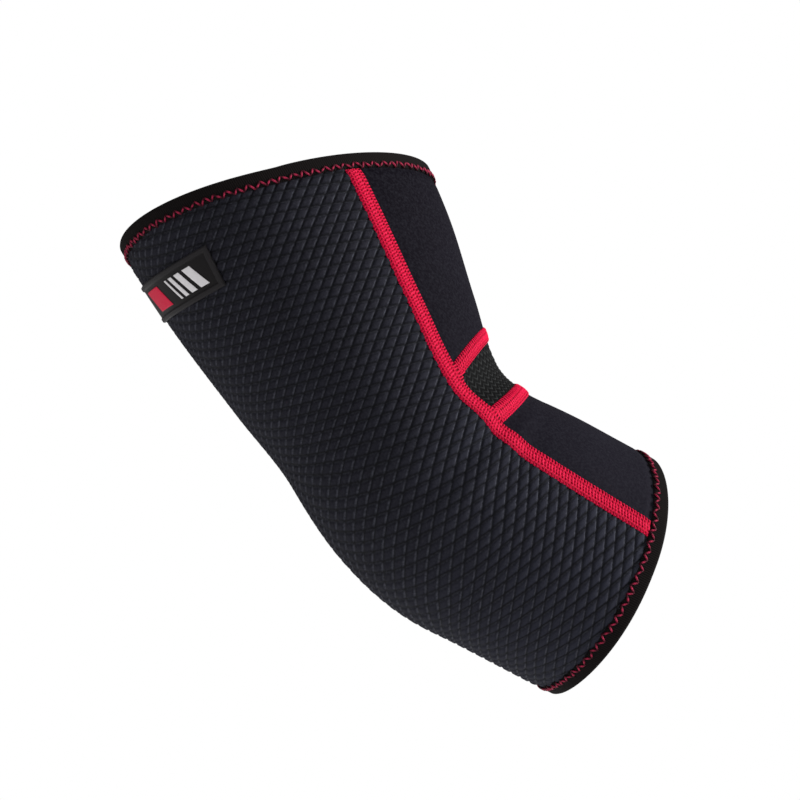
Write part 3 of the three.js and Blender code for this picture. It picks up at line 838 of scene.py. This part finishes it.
class BRACE_OT_outer_panel(bpy.types.Operator):
    """Make the embossed neoprene panel, on a mesh whose edges run along the grooves of its pattern"""

    bl_idname = "brace.outer_panel"
    bl_label = "Outer panel"

    STEPS = 8  # grid steps to a diagonal of a pad
    INNER_EVERY = 8  # the inner skin keeps one column of this many
    SEAM_FADE = (2.0, 3.2)  # mm from the panel's edge over which the pads begin
    TAPE_FADE = 1.5  # mm before the tape's edge where they begin
    GROOVE_DEPTH = 0.35  # how far a groove lies under the face, as a share of the pads' height

    def grid(self, cut, pad_length, pad_width):
        """The pattern's grid, clamped onto the panel's outline.

        Gives its column and row numbers, its x and y in the flat cut, and the panel's half width there."""
        place = np.linspace(-1.0, 1.0, 401)
        edge_x, edge_y = cut.flat(place, before_long_seam(place, -CLEARANCE / 2))
        gap = TAPE_WALL + CLEARANCE
        angle = np.linspace(60.0, 180.0, 241)
        rims = [cut.flat(in_from_rim(end, angle, gap), angle) for end in (-1, 1)]
        reach = int(edge_x.max() / (pad_length / self.STEPS)) + 2
        reach += -reach % self.INNER_EVERY
        first = int(rims[0][1].min() / (pad_width / self.STEPS)) - 2
        last = int(rims[1][1].max() / (pad_width / self.STEPS)) + 2
        columns, rows = np.arange(-reach, reach + 1), np.arange(first, last + 1)
        column, row = np.meshgrid(columns, rows)
        y = row * pad_width / self.STEPS
        low, high = (np.interp(edge_x[k], rims[k][0][::-1], rims[k][1][::-1]) for k in (0, -1))
        limit = np.interp(np.clip(y, low, high), edge_y, edge_x)
        x = np.clip(column * pad_length / self.STEPS, -limit, limit)
        top, bottom = (np.interp(np.abs(x), rim[0][::-1], rim[1][::-1]) for rim in rims)
        return column, row, x, np.clip(y, top, bottom), limit

    def execute(self, context):
        sizes, hues = context.scene.brace_sizes, context.scene.brace_colours
        pad_length, pad_width = mm(sizes.pad_length), mm(sizes.pad_width)
        cut = FlatCut()
        column, row, x, y, limit = self.grid(cut, pad_length, pad_width)
        place, half = cut.spot(np.abs(x), y)
        angle = np.where(x <= 0, half, 360 - half)
        press = press_at(place, half)
        end = np.where(place < 0, -1.0, 1.0)
        from_rim = np.abs(end - place) * per_place(end, half)
        fade = smooth(limit - np.abs(x), *self.SEAM_FADE)
        fade = fade * smooth(from_rim, TAPE_LEG - self.TAPE_FADE, TAPE_LEG)
        # The relief is also the mask of the painted shade in the grooves.
        relief = pad_relief(x, y, pad_length, pad_width, mm(sizes.pad_edge)) * fade
        height = (relief - self.GROOVE_DEPTH * fade) * mm(sizes.pad_height) - press
        outer = off_face(place, angle, height)
        inner = off_face(place, angle, press - NEOPRENE_WALL)
        cloth = Cloth()
        uv = pair(x, y)
        top_numbers = self.joined(cloth.add(outer, relief), x, y)
        under = self.joined(cloth.add(inner, 1.0), x, y)
        self.triangles(cloth, top_numbers, uv, column, row)
        columns = x.shape[1]
        every = np.arange(0, columns, self.INNER_EVERY)
        cloth.take_sound(grid_corners(under[:, every])[:, ::-1], grid_corners(uv[:, every])[:, ::-1], 1)
        nearest = every[np.round(np.arange(columns) / self.INNER_EVERY).astype(int)]
        edge = np.stack([rim_of(under[:, nearest]), rim_of(top_numbers)])
        cloth.take_sound(grid_corners(edge), grid_corners(np.stack([rim_of(uv)] * 2)))
        finishes = [embossed_finish(hues, pad_length, pad_width), lining_finish(hues)]
        made = cloth.make("outer_panel_cloth", finishes)
        drop_loose(made)
        keep(made, "embossed_neoprene", "outer_panel")
        return {"FINISHED"}

    @staticmethod
    def joined(numbers, x, y):
        """Gives the points that were clamped onto the same spot one number."""
        keys = np.round(np.stack([x.ravel(), y.ravel()], 1), 6)
        _, first, back = np.unique(keys, axis=0, return_index=True, return_inverse=True)
        return numbers.ravel()[first][back.ravel()].reshape(numbers.shape)

    def triangles(self, cloth, numbers, uv, column, row):
        """Splits each cell along the groove that crosses it."""
        corners, uvs = grid_corners(numbers), grid_corners(uv)
        i, j = column[:-1, :-1].ravel(), row[:-1, :-1].ravel()
        rising = (i + j + 1) % self.STEPS == 0
        rising |= ((i - j) % self.STEPS != 0) & ((i + j) // self.STEPS % 2 == 0)
        for mask, split in ((rising, ((0, 1, 3), (1, 2, 3))), (~rising, ((0, 1, 2), (0, 2, 3)))):
            for pick in split:
                cloth.take_sound(corners[mask][:, pick], uvs[mask][:, pick])


def drop_loose(made):
    """Removes points that no face uses."""
    work = bmesh.new()
    work.from_mesh(made.data)
    bmesh.ops.delete(work, geom=[v for v in work.verts if not v.link_faces], context="VERTS")
    work.to_mesh(made.data)
    work.free()


# The front panels


def front_skin(start, end, wall, relief_of=None):
    """A panel between the long seams. start and end give the places of its two ends for an angle."""

    def skin(across, down, side):
        rough_angle = mix(-1.0, 1.0, across) * seam_angle(np.asarray(0.0))
        rough_place = mix(start(rough_angle), end(rough_angle), down)
        edge = before_long_seam(rough_place, CLEARANCE / 2)
        angle = mix(-edge, edge, across)
        place = mix(start(angle), end(angle), down)
        press = press_at(place, np.abs(angle))
        u = angle * per_degree(place, angle)
        v = along_at(place, angle)
        if side:
            return off_face(place, angle, press - wall), 1.0, pair(u, v)
        relief, height = (1.0, 0.0) if relief_of is None else relief_of(u, v, across, down)
        return off_face(place, angle, height - press), relief, pair(u, v)

    return skin


class BRACE_OT_front_panels(bpy.types.Operator):
    """Make the two smooth panels on the front of the arm"""

    bl_idname = "brace.front_panels"
    bl_label = "Front panels"

    COLUMNS, ROWS = 96, 110  # of each panel's mesh

    def execute(self, context):
        hues = context.scene.brace_colours
        gap, edge = TAPE_WALL + CLEARANCE, CLEARANCE / 2
        finishes = [smooth_finish(hues), lining_finish(hues)]
        pieces = (
            ("upper_front_panel", lambda a: in_from_rim(-1, a, gap),
             lambda a: crook_seam_place(UPPER_CROOK_SEAM, a, -edge), (0.135, 0.09), 0.0081),
            ("lower_front_panel", lambda a: crook_seam_place(LOWER_CROOK_SEAM, a, edge),
             lambda a: in_from_rim(1, a, gap), (0.118, 0.075), 0.0063),
        )
        for name, start, end, flat, area in pieces:
            skin = front_skin(start, end, NEOPRENE_WALL)
            made = walled(name + "_cloth", skin, self.COLUMNS, self.ROWS, finishes)
            keep(made, "smooth_neoprene", name)
        return {"FINISHED"}


class BRACE_OT_crook_mesh(bpy.types.Operator):
    """Make the knit insert in the crook, with its ribs and holes in relief"""

    bl_idname = "brace.crook_mesh"
    bl_label = "Crook mesh"

    COLUMNS, ROWS = 330, 130  # of its mesh, fine enough for the ribs
    STITCH_WIDTH, STITCH_RISE = 1.2, 0.8  # of a V stitch, as shares of the pitch
    SHARPNESS = 2.6  # the power that narrows the ribs
    RIB_HEIGHT, HOLE_DEPTH = 0.25, 0.2  # in mm, the ribs from the holes' floor and the floor from the face
    BORDER = (0.02, 0.08)  # shares of the insert's length over which the relief begins

    def execute(self, context):
        hues = context.scene.brace_colours
        pitch = mm(context.scene.brace_sizes.mesh_pitch)

        def knit_relief(u, v, across, down):
            """Rows of V stitches: ribs round the arm whose line zigzags, with a hole in each V."""
            wale = u / (self.STITCH_WIDTH * pitch)
            vee = np.abs(wale - np.round(wale)) * 2
            rows = 0.5 + 0.5 * np.cos(2 * np.pi * (v / pitch + self.STITCH_RISE * vee))
            # The relief is also the mask of the painted shade in the holes.
            relief = rows ** self.SHARPNESS * (0.4 + 0.6 * np.sin(np.pi * (wale + 0.5)) ** 2)
            border = smooth(np.minimum(down, 1 - down), *self.BORDER)
            return relief, (self.RIB_HEIGHT * relief - self.HOLE_DEPTH) * border

        edge = CLEARANCE / 2
        skin = front_skin(lambda a: crook_seam_place(UPPER_CROOK_SEAM, a, edge),
                          lambda a: crook_seam_place(LOWER_CROOK_SEAM, a, -edge), MESH_WALL, knit_relief)
        finishes = [mesh_finish(hues), lining_finish(hues)]
        made = walled("crook_mesh_knit", skin, self.COLUMNS, self.ROWS, finishes)
        keep(made, "knit_mesh", "crook_mesh")
        return {"FINISHED"}


# Stitches


# Rows of gaps across a flatlock band: (centre and half width as shares of the band's half width, depth, lag)
GAP_ROWS = ((0.74, 0.2, 1.0, 0.0), (0.3, 0.1, 0.75, 0.35), (-0.08, 0.08, 0.4, 0.05),
            (-0.42, 0.1, 0.7, 0.5), (-0.76, 0.1, 0.8, 0.15))
GAP_SLANT, LOOP_SLANT = 0.9, 0.3  # in turns from the band's middle to its edge
GAP_SHARPNESS, GAP_CHANGE = 1.6, 0.25  # the power that narrows a gap, and how much its depth varies
LOOP_RISE, GAP_FALL = 0.3, 0.5  # in shares of the band's height
SCALLOP = 0.035  # how far the loops swell the band's edges, as a share
END_HEIGHT, END_TURNS = 0.6, 0.5  # the share of its height at a band's ends, and the stitches it grows over
ROWS_A_STITCH, TOP_POINTS, FOOT_POINTS = 6, 37, 5  # of a band's mesh: along it, across its top and foot
STITCH_HEIGHT, BAND_LIFT = 0.85, 0.08  # mm from the foot to the tops, and of the band off the cloth
FOOT_DEPTH, FOOT_WIDTH = 0.05, 0.9  # mm under the band's middle, and the share of its width
MESH_CORNER, PANEL_CORNER = 2.8, 1.2  # radii of the corners that the seams leave, in mm
CORNER_OVERLAP = 0.8  # how far a corner's tip lies under the crook seam
CROOK_SEAM_OVERLAP = 0.2  # how far the crook seams reach under the long ones
SEAM_GAP = 0.1  # between the tape and the ends of the long seams


def wander(turns, *waves):
    """A sum of slow sines, each (height, rate, start), which makes every stitch a little different."""
    return sum(height * np.sin(rate * turns + start) for height, rate, start in waves)


def stitch_profile(across, turns):
    """The relief of a flatlock band, and its height as a share. across runs from -1 to 1.

    Loops cross the band once a turn. Between them each row of gaps is a Gaussian across the band times a
    cosine along it, and each row starts a little later than the last."""
    crown = 1 - np.abs(across) ** 6
    uneven = wander(turns, (0.1, 0.71, 0.0), (0.07, 1.93, 1.0))
    loops = 0.5 + 0.5 * np.cos(2 * np.pi * (turns + uneven + LOOP_SLANT * across))
    gaps = 0.0
    for centre, half, depth, lag in GAP_ROWS:
        late = lag + GAP_SLANT * (across - centre)
        hole = (0.5 - 0.5 * np.cos(2 * np.pi * (turns + uneven + late))) ** GAP_SHARPNESS
        depth = depth * (1 + wander(turns, (GAP_CHANGE, 2.4, 9 * centre)))
        gaps = gaps + np.exp(-((across - centre) / half) ** 2) * hole * depth
    gaps = np.clip(gaps, 0, 1)
    # This relief is the mask of the thread's painted shade in the gaps and troughs.
    relief = np.clip(1 - 1.15 * gaps - 0.3 * (1 - loops) ** 1.5, 0, 1)
    return relief, crown * (mix(1 - LOOP_RISE, 1.0, loops) - GAP_FALL * gaps)


def seam_band(name, spot, width, pitch, material, turned=False):
    """A band of stitches: a section with relief on top and a flat foot, carried along a seam.

    spot(t, shift) gives the place and angle for a share t of the seam and a distance across. The shares are
    spaced evenly by length first, so that every stitch is as long as the next."""
    share = np.linspace(0, 1, 400)
    line = outer_face(*spot(share, 0 * share))
    run = lengths(line)
    length = run[-1]
    rows = int(length / pitch * ROWS_A_STITCH) + 1
    even = np.interp(np.linspace(0, length, rows), run, share)
    turns, top = np.meshgrid(
        np.linspace(0, length / pitch, rows), np.linspace(-1, 1, TOP_POINTS), indexing="ij")
    relief, height = stitch_profile(top, turns)
    ends = smooth(np.minimum(turns, turns[-1] - turns), 0.0, END_TURNS)
    height = height * mix(END_HEIGHT, 1.0, ends)
    foot = np.broadcast_to(np.linspace(FOOT_WIDTH, -FOOT_WIDTH, FOOT_POINTS), (rows, FOOT_POINTS))
    scallop = 1 + SCALLOP * np.cos(2 * np.pi * turns) * np.abs(top) ** 4
    across = np.concatenate([top * scallop, foot], 1)
    lift = np.concatenate([FOOT_DEPTH + STITCH_HEIGHT * height, np.full(foot.shape, -FOOT_DEPTH)], 1)
    shade = np.concatenate([relief, np.ones(foot.shape)], 1)
    t = np.broadcast_to(even[:, None], across.shape)
    place, angle = spot(t, across * width / 2)
    rings = off_face(place, angle, lift + BAND_LIFT - press_at(place, np.abs(angle)))
    u = np.concatenate([across, across[:, :1]], 1) * width / 2
    uv = pair(u, np.broadcast_to(turns[:, :1] * pitch, u.shape))
    if turned:
        rings, shade, uv = rings[:, ::-1], shade[:, ::-1], uv[:, ::-1]
    return tube(name, rings, shade, uv, [material])


def corner_fill(place, angle):
    """How far the long seams' stitches spread into the corners that the crook seams make with them.

    A quarter circle of the corner's radius r: r - sqrt(r^2 - (r - d)^2), d from the crook seam's edge."""
    inner = before_long_seam(place, SEAM_WIDTH / 2 + MESH_CORNER / 2)
    spread = 0.0
    for seam, inward in ((UPPER_CROOK_SEAM, 1), (LOWER_CROOK_SEAM, -1)):
        middle = crook_seam_place(seam, inner)
        mm_a_place = per_place(place, inner)
        slope = (crook_seam_place(seam, inner + 1) - middle) * mm_a_place / per_degree(place, inner)
        seam_edge = CROOK_SEAM_WIDTH / 2 * np.sqrt(1 + slope ** 2)
        away = (place - middle) * mm_a_place
        beyond = np.clip(np.abs(away) + CORNER_OVERLAP - seam_edge, 0, None)
        radius = np.where(away * inward > 0, MESH_CORNER, PANEL_CORNER)
        part = np.clip(1 - beyond / radius, 0, 1)
        spread = spread + radius * (1 - np.sqrt(1 - part ** 2))
    return spread


class BRACE_OT_seams(bpy.types.Operator):
    """Make the red flatlock seams along the sides and across the crook"""

    bl_idname = "brace.seams"
    bl_label = "Flatlock seams"

    def execute(self, context):
        pitch = mm(context.scene.brace_sizes.stitch_pitch)
        red = thread_finish(context.scene.brace_colours)
        gap = TAPE_LEG + SEAM_GAP

        def along_side(side):
            """A shift above 0 is towards the front on either side."""
            def spot(t, shift):
                rough_place = mix(-1.0, 1.0, t)
                edge = smooth(shift, 0.4 * SEAM_WIDTH / 2, SEAM_WIDTH / 2)
                spread = corner_fill(rough_place, seam_angle(rough_place)) * edge
                angle = before_long_seam(rough_place, shift + spread)
                return mix(in_from_rim(-1, angle, gap), in_from_rim(1, angle, gap), t), side * angle
            return spot

        for name, side in (("long_seam_near", 1), ("long_seam_far", -1)):
            made = seam_band(name + "_stitches", along_side(side), SEAM_WIDTH, pitch, red, turned=side > 0)
            keep(made, "red_thread", name)

        def over_crook(seam):
            """A shift above 0 is towards the top."""
            end = before_long_seam(np.asarray(seam[1]), SEAM_WIDTH / 2 - CROOK_SEAM_OVERLAP)

            def spot(t, shift):
                angle = mix(-end, end, t)
                return crook_seam_place(seam, angle, -shift), angle
            return spot

        for name, seam in (("crook_seam_upper", UPPER_CROOK_SEAM), ("crook_seam_lower", LOWER_CROOK_SEAM)):
            made = seam_band(name + "_stitches", over_crook(seam), CROOK_SEAM_WIDTH, pitch, red)
            keep(made, "red_thread", name)
        return {"FINISHED"}


# Bindings


TAPE_HALF = NEOPRENE_WALL / 2 + 0.2  # from the middle of the wall to the tape's face
TAPE_STEPS = 560  # of its mesh, round the rim
TAPE_FOLD_END = 1.6  # how far from the rim its straight legs begin
TAPE_SLOT = NEOPRENE_WALL / 2 - TAPE_PRESS + 0.08  # from the middle of the wall to the tape's inner face
TAPE_THINNING = 0.35  # of its height at the legs' ends, over the last 0.9 mm
BITE_DEPTH, BITE_WIDTH = 0.28, 0.55  # how deep and wide the zigzag presses the tape, in mm
RIPPLE_HEIGHT, RIPPLE_SPAN = 0.1, (2.0, 5.5)  # of the waves between stitches, and where they begin
PUSH_FROM = 1.2  # only the outer faces, this far from the middle of the wall, are bitten and rippled
THREAD_SIDES, THREAD_RINGS = 6, 12  # of the zigzag's mesh, round the thread and along each period
THREAD_LIFT, THREAD_DIP = 0.7, 1.2  # of a leg's middle over the tape, and down from there, in radii


def rim_angles(end, count):
    """Angles evenly spaced by length round the rim."""
    angle = np.linspace(0, 360, 721)
    points = outer_face(np.full(angle.shape, float(end)), angle)
    length = lengths(points)
    return np.interp(np.linspace(0, length[-1], count + 1), length, angle), length[-1]


def zigzag_wave(turns):
    """A triangle wave of about -1 to 1, whose points come a little early or late and reach unevenly far."""
    sooner = turns + wander(turns, (0.06, 2.1, 0.0), (0.05, 5.3, 1.0))
    wave = 4 * np.abs(sooner - np.round(sooner)) - 1
    return wave * (1 + wander(turns, (0.1, 1.3, 0.0))) + wander(turns, (0.1, 3.7, 2.0))


def zigzag_distance(turns, sizes):
    """How far in from the rim the zigzag's thread lies: it reaches almost to the tape's edge."""
    height = mm(sizes.zigzag_height)
    return TAPE_LEG - 0.05 + (zigzag_wave(turns) - 1) * height / 2


class BRACE_OT_bindings(bpy.types.Operator):
    """Make the knit tape folded over each rim, pinched a little under its zigzag stitch"""

    bl_idname = "brace.bindings"
    bl_label = "Bindings"

    def execute(self, context):
        scene = context.scene
        tape = tape_finish(scene.brace_colours)
        thread = zigzag_finish(scene.brace_colours)
        for name, end, width in (("top_binding", -1, 0.345), ("lower_binding", 1, 0.295)):
            made = self.tape(name, end, tape, scene.brace_sizes)
            keep(made, "binding_tape", name)
            for face in ("outside", "inside"):
                stitch = self.zigzag(name.replace("binding", "zigzag") + "_" + face, end, face, thread,
                                     scene.brace_sizes)
                keep(stitch, "red_thread")
        return {"FINISHED"}

    @staticmethod
    def section():
        """(distance, height) once round: inner leg, fold, outer leg, and back inside the slot."""
        leg = np.linspace(TAPE_LEG, TAPE_FOLD_END, 13)
        turn = np.linspace(-math.pi / 2, math.pi / 2, 15)
        thin = 1 - TAPE_THINNING * smooth(leg, TAPE_LEG - 0.9, TAPE_LEG)
        outer = np.stack([leg, TAPE_HALF * thin], 1)
        fold = np.stack([(TAPE_WALL + CLEARANCE) * (1 - np.cos(turn)), TAPE_HALF * np.sin(turn)], 1)
        inner = np.stack([leg[::4], np.full(len(leg[::4]), TAPE_SLOT)], 1)
        return np.concatenate([
            outer * (1, -1), fold[1:-1], outer[::-1], inner, inner[::-1] * (1, -1),
        ]) + (0, -NEOPRENE_WALL / 2)

    def tape(self, name, end, material, sizes):
        """The folded tape. Its outer faces rise and fall twice a period, and dip at the zigzag's points."""
        section = self.section()
        angle, length = rim_angles(end, TAPE_STEPS)
        turns = np.arange(TAPE_STEPS)[:, None] / TAPE_STEPS * round(length / mm(sizes.zigzag_pitch))
        distance, height = section[:, 0][None], section[:, 1][None]
        from_thread = (distance - zigzag_distance(turns, sizes)) / BITE_WIDTH
        bite = np.exp(-from_thread ** 2) * np.abs(zigzag_wave(turns)) ** 2
        ripple = RIPPLE_HEIGHT * np.cos(2 * np.pi * turns * 2) * smooth(distance, *RIPPLE_SPAN)
        from_middle = height + NEOPRENE_WALL / 2
        outside = np.abs(from_middle) > PUSH_FROM
        push = np.where(outside, (ripple - BITE_DEPTH * bite) * np.sign(from_middle), 0.0)
        place = in_from_rim(end, angle[:-1, None] + 0 * distance, distance)
        rings = off_face(place, angle[:-1, None], height + push)
        around = lengths(np.concatenate([section, section[:1]]))
        uv = pair(around[None], np.linspace(0, length, TAPE_STEPS + 1)[:, None])
        return tube(name + "_tape", rings[:, ::end], 1.0, uv[:, ::end], [material], closed=True)

    def zigzag(self, name, end, face, material, sizes):
        """A thread on a triangle wave along the tape, which dips into the tape at each point."""
        _, length = rim_angles(end, 1)
        periods = round(length / mm(sizes.zigzag_pitch))
        rings = periods * THREAD_RINGS
        angle = rim_angles(end, rings)[0][:-1]
        turns = np.arange(rings) / THREAD_RINGS
        radius = mm(sizes.zigzag_thread) / 2
        lift = radius * (THREAD_LIFT - THREAD_DIP * smooth(np.abs(zigzag_wave(turns)), 0.6, 1.0))
        side = 1.0 if face == "outside" else -1.0
        place = in_from_rim(end, angle, zigzag_distance(turns, sizes))
        centre = off_face(place, angle, -NEOPRENE_WALL / 2 + side * (TAPE_HALF + lift))
        out = out_at(place, angle) * side
        ahead = unit(np.roll(centre, -1, 0) - np.roll(centre, 1, 0))
        across = unit(np.cross(ahead, out))
        turn = np.linspace(0, 2 * math.pi, THREAD_SIDES + 1)[:-1, None]
        skin = centre[:, None] + radius * (np.cos(turn) * across[:, None] + np.sin(turn) * out[:, None])
        uv = pair(np.linspace(0, 1, THREAD_SIDES + 1)[None], np.linspace(0, periods, rings + 1)[:, None])
        return tube(name, skin, 1.0, uv, [material], closed=True)


# The label


BAR_LEAN = 0.55  # how far a bar leans for each millimetre of its height
BAR_HALF_HEIGHT = 4.4
# Where each bar starts along the label, and its width
WHITE_BARS = ((-24.5, 4.2), (-18.4, 3.1), (-13.6, 2.1), (-9.8, 1.2))
RED_BLOCK = (-2.0, 13.0)
BAR_RISE, BAR_EDGE = 0.3, 0.2  # how far the bars stand out, and half the width of their sloping edges
LABEL_GAP = 0.12  # under the label's plate
LABEL_EDGE = (-0.2, 0.45)  # how far in from its outline the plate's edge rounds off
LABEL_THIN = 0.4  # the share of its height right at the outline
RIM_SLOPE = 0.5  # the width of the slope inside its raised rim
CONE_SHARE = 0.2  # of the way from the bend, over which the taper of the sleeve is measured


def label_spot(x, y):
    """The place and angle of a spot on the label, which lies as a flat strip does on a cone."""
    turn = math.radians(LABEL_TURN)
    round_way = x * math.cos(turn) - y * math.sin(turn)
    down = x * math.sin(turn) + y * math.cos(turn)
    angle_here = np.asarray(LABEL_ANGLE)
    middle = -LABEL_UP * UPPER_LENGTH
    middle_place = place_at(middle, angle_here)
    scale = per_degree(middle_place, angle_here)
    nearer = per_degree(middle_place * (1 - CONE_SHARE), angle_here)
    taper = (scale - nearer) / (CONE_SHARE * LABEL_UP * UPPER_LENGTH)
    tip = scale / taper
    reach = np.hypot(round_way, tip - down)
    angle = LABEL_ANGLE + np.arctan2(round_way, tip - down) * tip / scale
    return place_at(middle + tip - reach, angle), angle


def place_at(along, angle):
    """The place this far along the middle line, by repeated correction."""
    place = along / UPPER_LENGTH
    for _ in range(12):
        place = place + (along - along_at(place, angle)) / UPPER_LENGTH
    return place


class BRACE_OT_label(bpy.types.Operator):
    """Make the rubber label: a plate with a raised rim and raised bars, bent round the sleeve"""

    bl_idname = "brace.label"
    bl_label = "Label"

    COLUMNS, ROWS = 230, 64  # of its mesh, fine enough for the rim and the bars

    def execute(self, context):
        def skin(across, down, side):
            """A plate with a rounded edge, whose rim and bars rise over it by smooth steps."""
            x = mix(-LABEL_LENGTH / 2, LABEL_LENGTH / 2, across)
            y = mix(-LABEL_HEIGHT / 2, LABEL_HEIGHT / 2, down)
            place, angle = label_spot(x, y)
            if side:
                return off_face(place, angle, LABEL_GAP), 1.0, pair(x, y)
            inset = np.minimum(LABEL_LENGTH / 2 - np.abs(x), LABEL_HEIGHT / 2 - np.abs(y))
            edge = mix(LABEL_THIN, 1.0, smooth(inset, *LABEL_EDGE))
            # raised is also the mask of the painted highlight on the rim.
            raised = 1 - smooth(inset, LABEL_RIM_WIDTH, LABEL_RIM_WIDTH + RIM_SLOPE)
            height = CLEARANCE + (LABEL_WALL + LABEL_RIM_HEIGHT * raised) * edge
            lean = x + y * BAR_LEAN
            for start, width in (*WHITE_BARS, RED_BLOCK):
                inside = np.minimum(lean - start, start + width - lean)
                inside = np.minimum(inside, BAR_HALF_HEIGHT - np.abs(y))
                height = height + BAR_RISE * smooth(inside, -BAR_EDGE, BAR_EDGE)
            return off_face(place, angle, height), raised, pair(x, y)

        finishes = [rubber_finish(context.scene.brace_colours)]
        made = walled("label_plate", skin, self.COLUMNS, self.ROWS, finishes)
        keep(made, "label_rubber", "label")
        return {"FINISHED"}


# Stage


class BRACE_OT_stage(bpy.types.Operator):
    """Make the pale floor, the soft lights, the white surroundings and the camera"""

    bl_idname = "brace.stage"
    bl_label = "Stage"

    TARGET = Vector((-0.015, 0.0, 0.027))
    DISTANCE, AZIMUTH, ELEVATION = 0.65, -10.6, -11.5
    SENSOR = 36.0
    LENS = 650 / 0.38 / 800 * SENSOR  # at 650 mm, 0.38 mm to a pixel of an 800-pixel frame
    FLOOR_HALF = 4.0
    KEY_FROM, KEY_WIDTH = (1.0, -0.34, 0.3), 20.0  # the way to the light, and its width in degrees
    TOP_FROM, TOP_WIDTH = (-0.25, -0.2, 1.0), 60.0

    def execute(self, context):
        stage = context.scene.brace_stage
        self.floor(stage)
        self.sun("key_light", self.KEY_FROM, self.KEY_WIDTH, stage.key_strength)
        self.sun("top_light", self.TOP_FROM, self.TOP_WIDTH, stage.top_strength)
        self.world(context.scene, stage)
        self.camera(context.scene)
        return {"FINISHED"}

    def floor(self, stage):
        """A flat square that reaches FLOOR_HALF to each side, under the brace's middle."""
        half = self.FLOOR_HALF
        corners = [(-half, -half), (half, -half), (half, half), (-half, half)]
        mesh = bpy.data.meshes.new("floor")
        mesh.from_pydata([(x, y, -stage.floor_drop) for x, y in corners], [], [(0, 1, 2, 3)])
        mesh.materials.append(floor_finish())
        made = bpy.data.objects.new("floor", mesh)
        bpy.context.scene.collection.objects.link(made)

    def sun(self, name, source, width, strength):
        """A soft light without falloff, from the direction of its source, as wide as the angle in degrees."""
        data = bpy.data.lights.new(name, "SUN")
        data.angle, data.energy = math.radians(width), strength
        made = bpy.data.objects.new(name, data)
        made.location = Vector(source)
        made.rotation_euler = Vector(source).to_track_quat("Z", "Y").to_euler()
        bpy.context.scene.collection.objects.link(made)

    def world(self, scene, stage):
        """White where the camera looks past the brace, and dimmer as a light on it."""
        world = bpy.data.worlds.new("white_surroundings")
        world.use_nodes = True
        nodes, links = world.node_tree.nodes, world.node_tree.links
        back = nodes["Background"]
        back.inputs["Color"].default_value = (1.0, 1.0, 1.0, 1.0)
        seen = nodes.new("ShaderNodeLightPath").outputs["Is Camera Ray"]
        strength = nodes.new("ShaderNodeMapRange")
        strength.inputs["To Min"].default_value = stage.world_strength
        links.new(seen, strength.inputs["Value"])
        links.new(strength.outputs["Result"], back.inputs["Strength"])
        scene.world = world
        scene.view_settings.view_transform = "Standard"
        scene.view_settings.look = "None"

    def camera(self, scene):
        """Looks at TARGET from DISTANCE away, from the near side and a little from the left and below."""
        azimuth, elevation = math.radians(self.AZIMUTH), math.radians(self.ELEVATION)
        back = Vector((math.sin(azimuth) * math.cos(elevation), -math.cos(azimuth) * math.cos(elevation),
                       math.sin(elevation)))
        data = bpy.data.cameras.new("camera")
        data.sensor_width, data.lens = self.SENSOR, self.LENS
        data.clip_start, data.clip_end = 0.01, 50.0
        made = bpy.data.objects.new("camera", data)
        made.location = self.TARGET + back * self.DISTANCE
        made.rotation_euler = (-back).to_track_quat("-Z", "Y").to_euler()
        scene.collection.objects.link(made)
        scene.camera = made


class BRACE_PT_panel(bpy.types.Panel):
    """The brace's steps, sizes and colours"""

    bl_idname = "BRACE_PT_panel"
    bl_label = "Elbow brace"
    bl_space_type = "VIEW_3D"
    bl_region_type = "UI"
    bl_category = "Brace"

    def draw(self, context):
        for step in STEPS:
            self.layout.operator(step.bl_idname)
        for group in (context.scene.brace_sizes, context.scene.brace_colours, context.scene.brace_stage):
            box = self.layout.box()
            for name in group.__annotations__:
                box.prop(group, name)


GROUPS = (("brace_sizes", BraceSizes), ("brace_colours", BraceColours), ("brace_stage", BraceStage))
STEPS = (BRACE_OT_outer_panel, BRACE_OT_front_panels, BRACE_OT_crook_mesh, BRACE_OT_seams,
         BRACE_OT_bindings, BRACE_OT_label, BRACE_OT_stage)


def register():
    for name, group in GROUPS:
        bpy.utils.register_class(group)
        setattr(bpy.types.Scene, name, bpy.props.PointerProperty(type=group))
    for kind in (*STEPS, BRACE_PT_panel):
        bpy.utils.register_class(kind)


def unregister():
    for kind in reversed((*STEPS, BRACE_PT_panel)):
        bpy.utils.unregister_class(kind)
    for name, group in reversed(GROUPS):
        delattr(bpy.types.Scene, name)
        bpy.utils.unregister_class(group)


def main():
    register()
    bpy.ops.brace.outer_panel()
    bpy.ops.brace.front_panels()
    bpy.ops.brace.crook_mesh()
    bpy.ops.brace.seams()
    bpy.ops.brace.bindings()
    bpy.ops.brace.label()
    bpy.ops.brace.stage()
    bpy.context.view_layer.update()


if __name__ == "__main__":
    main()
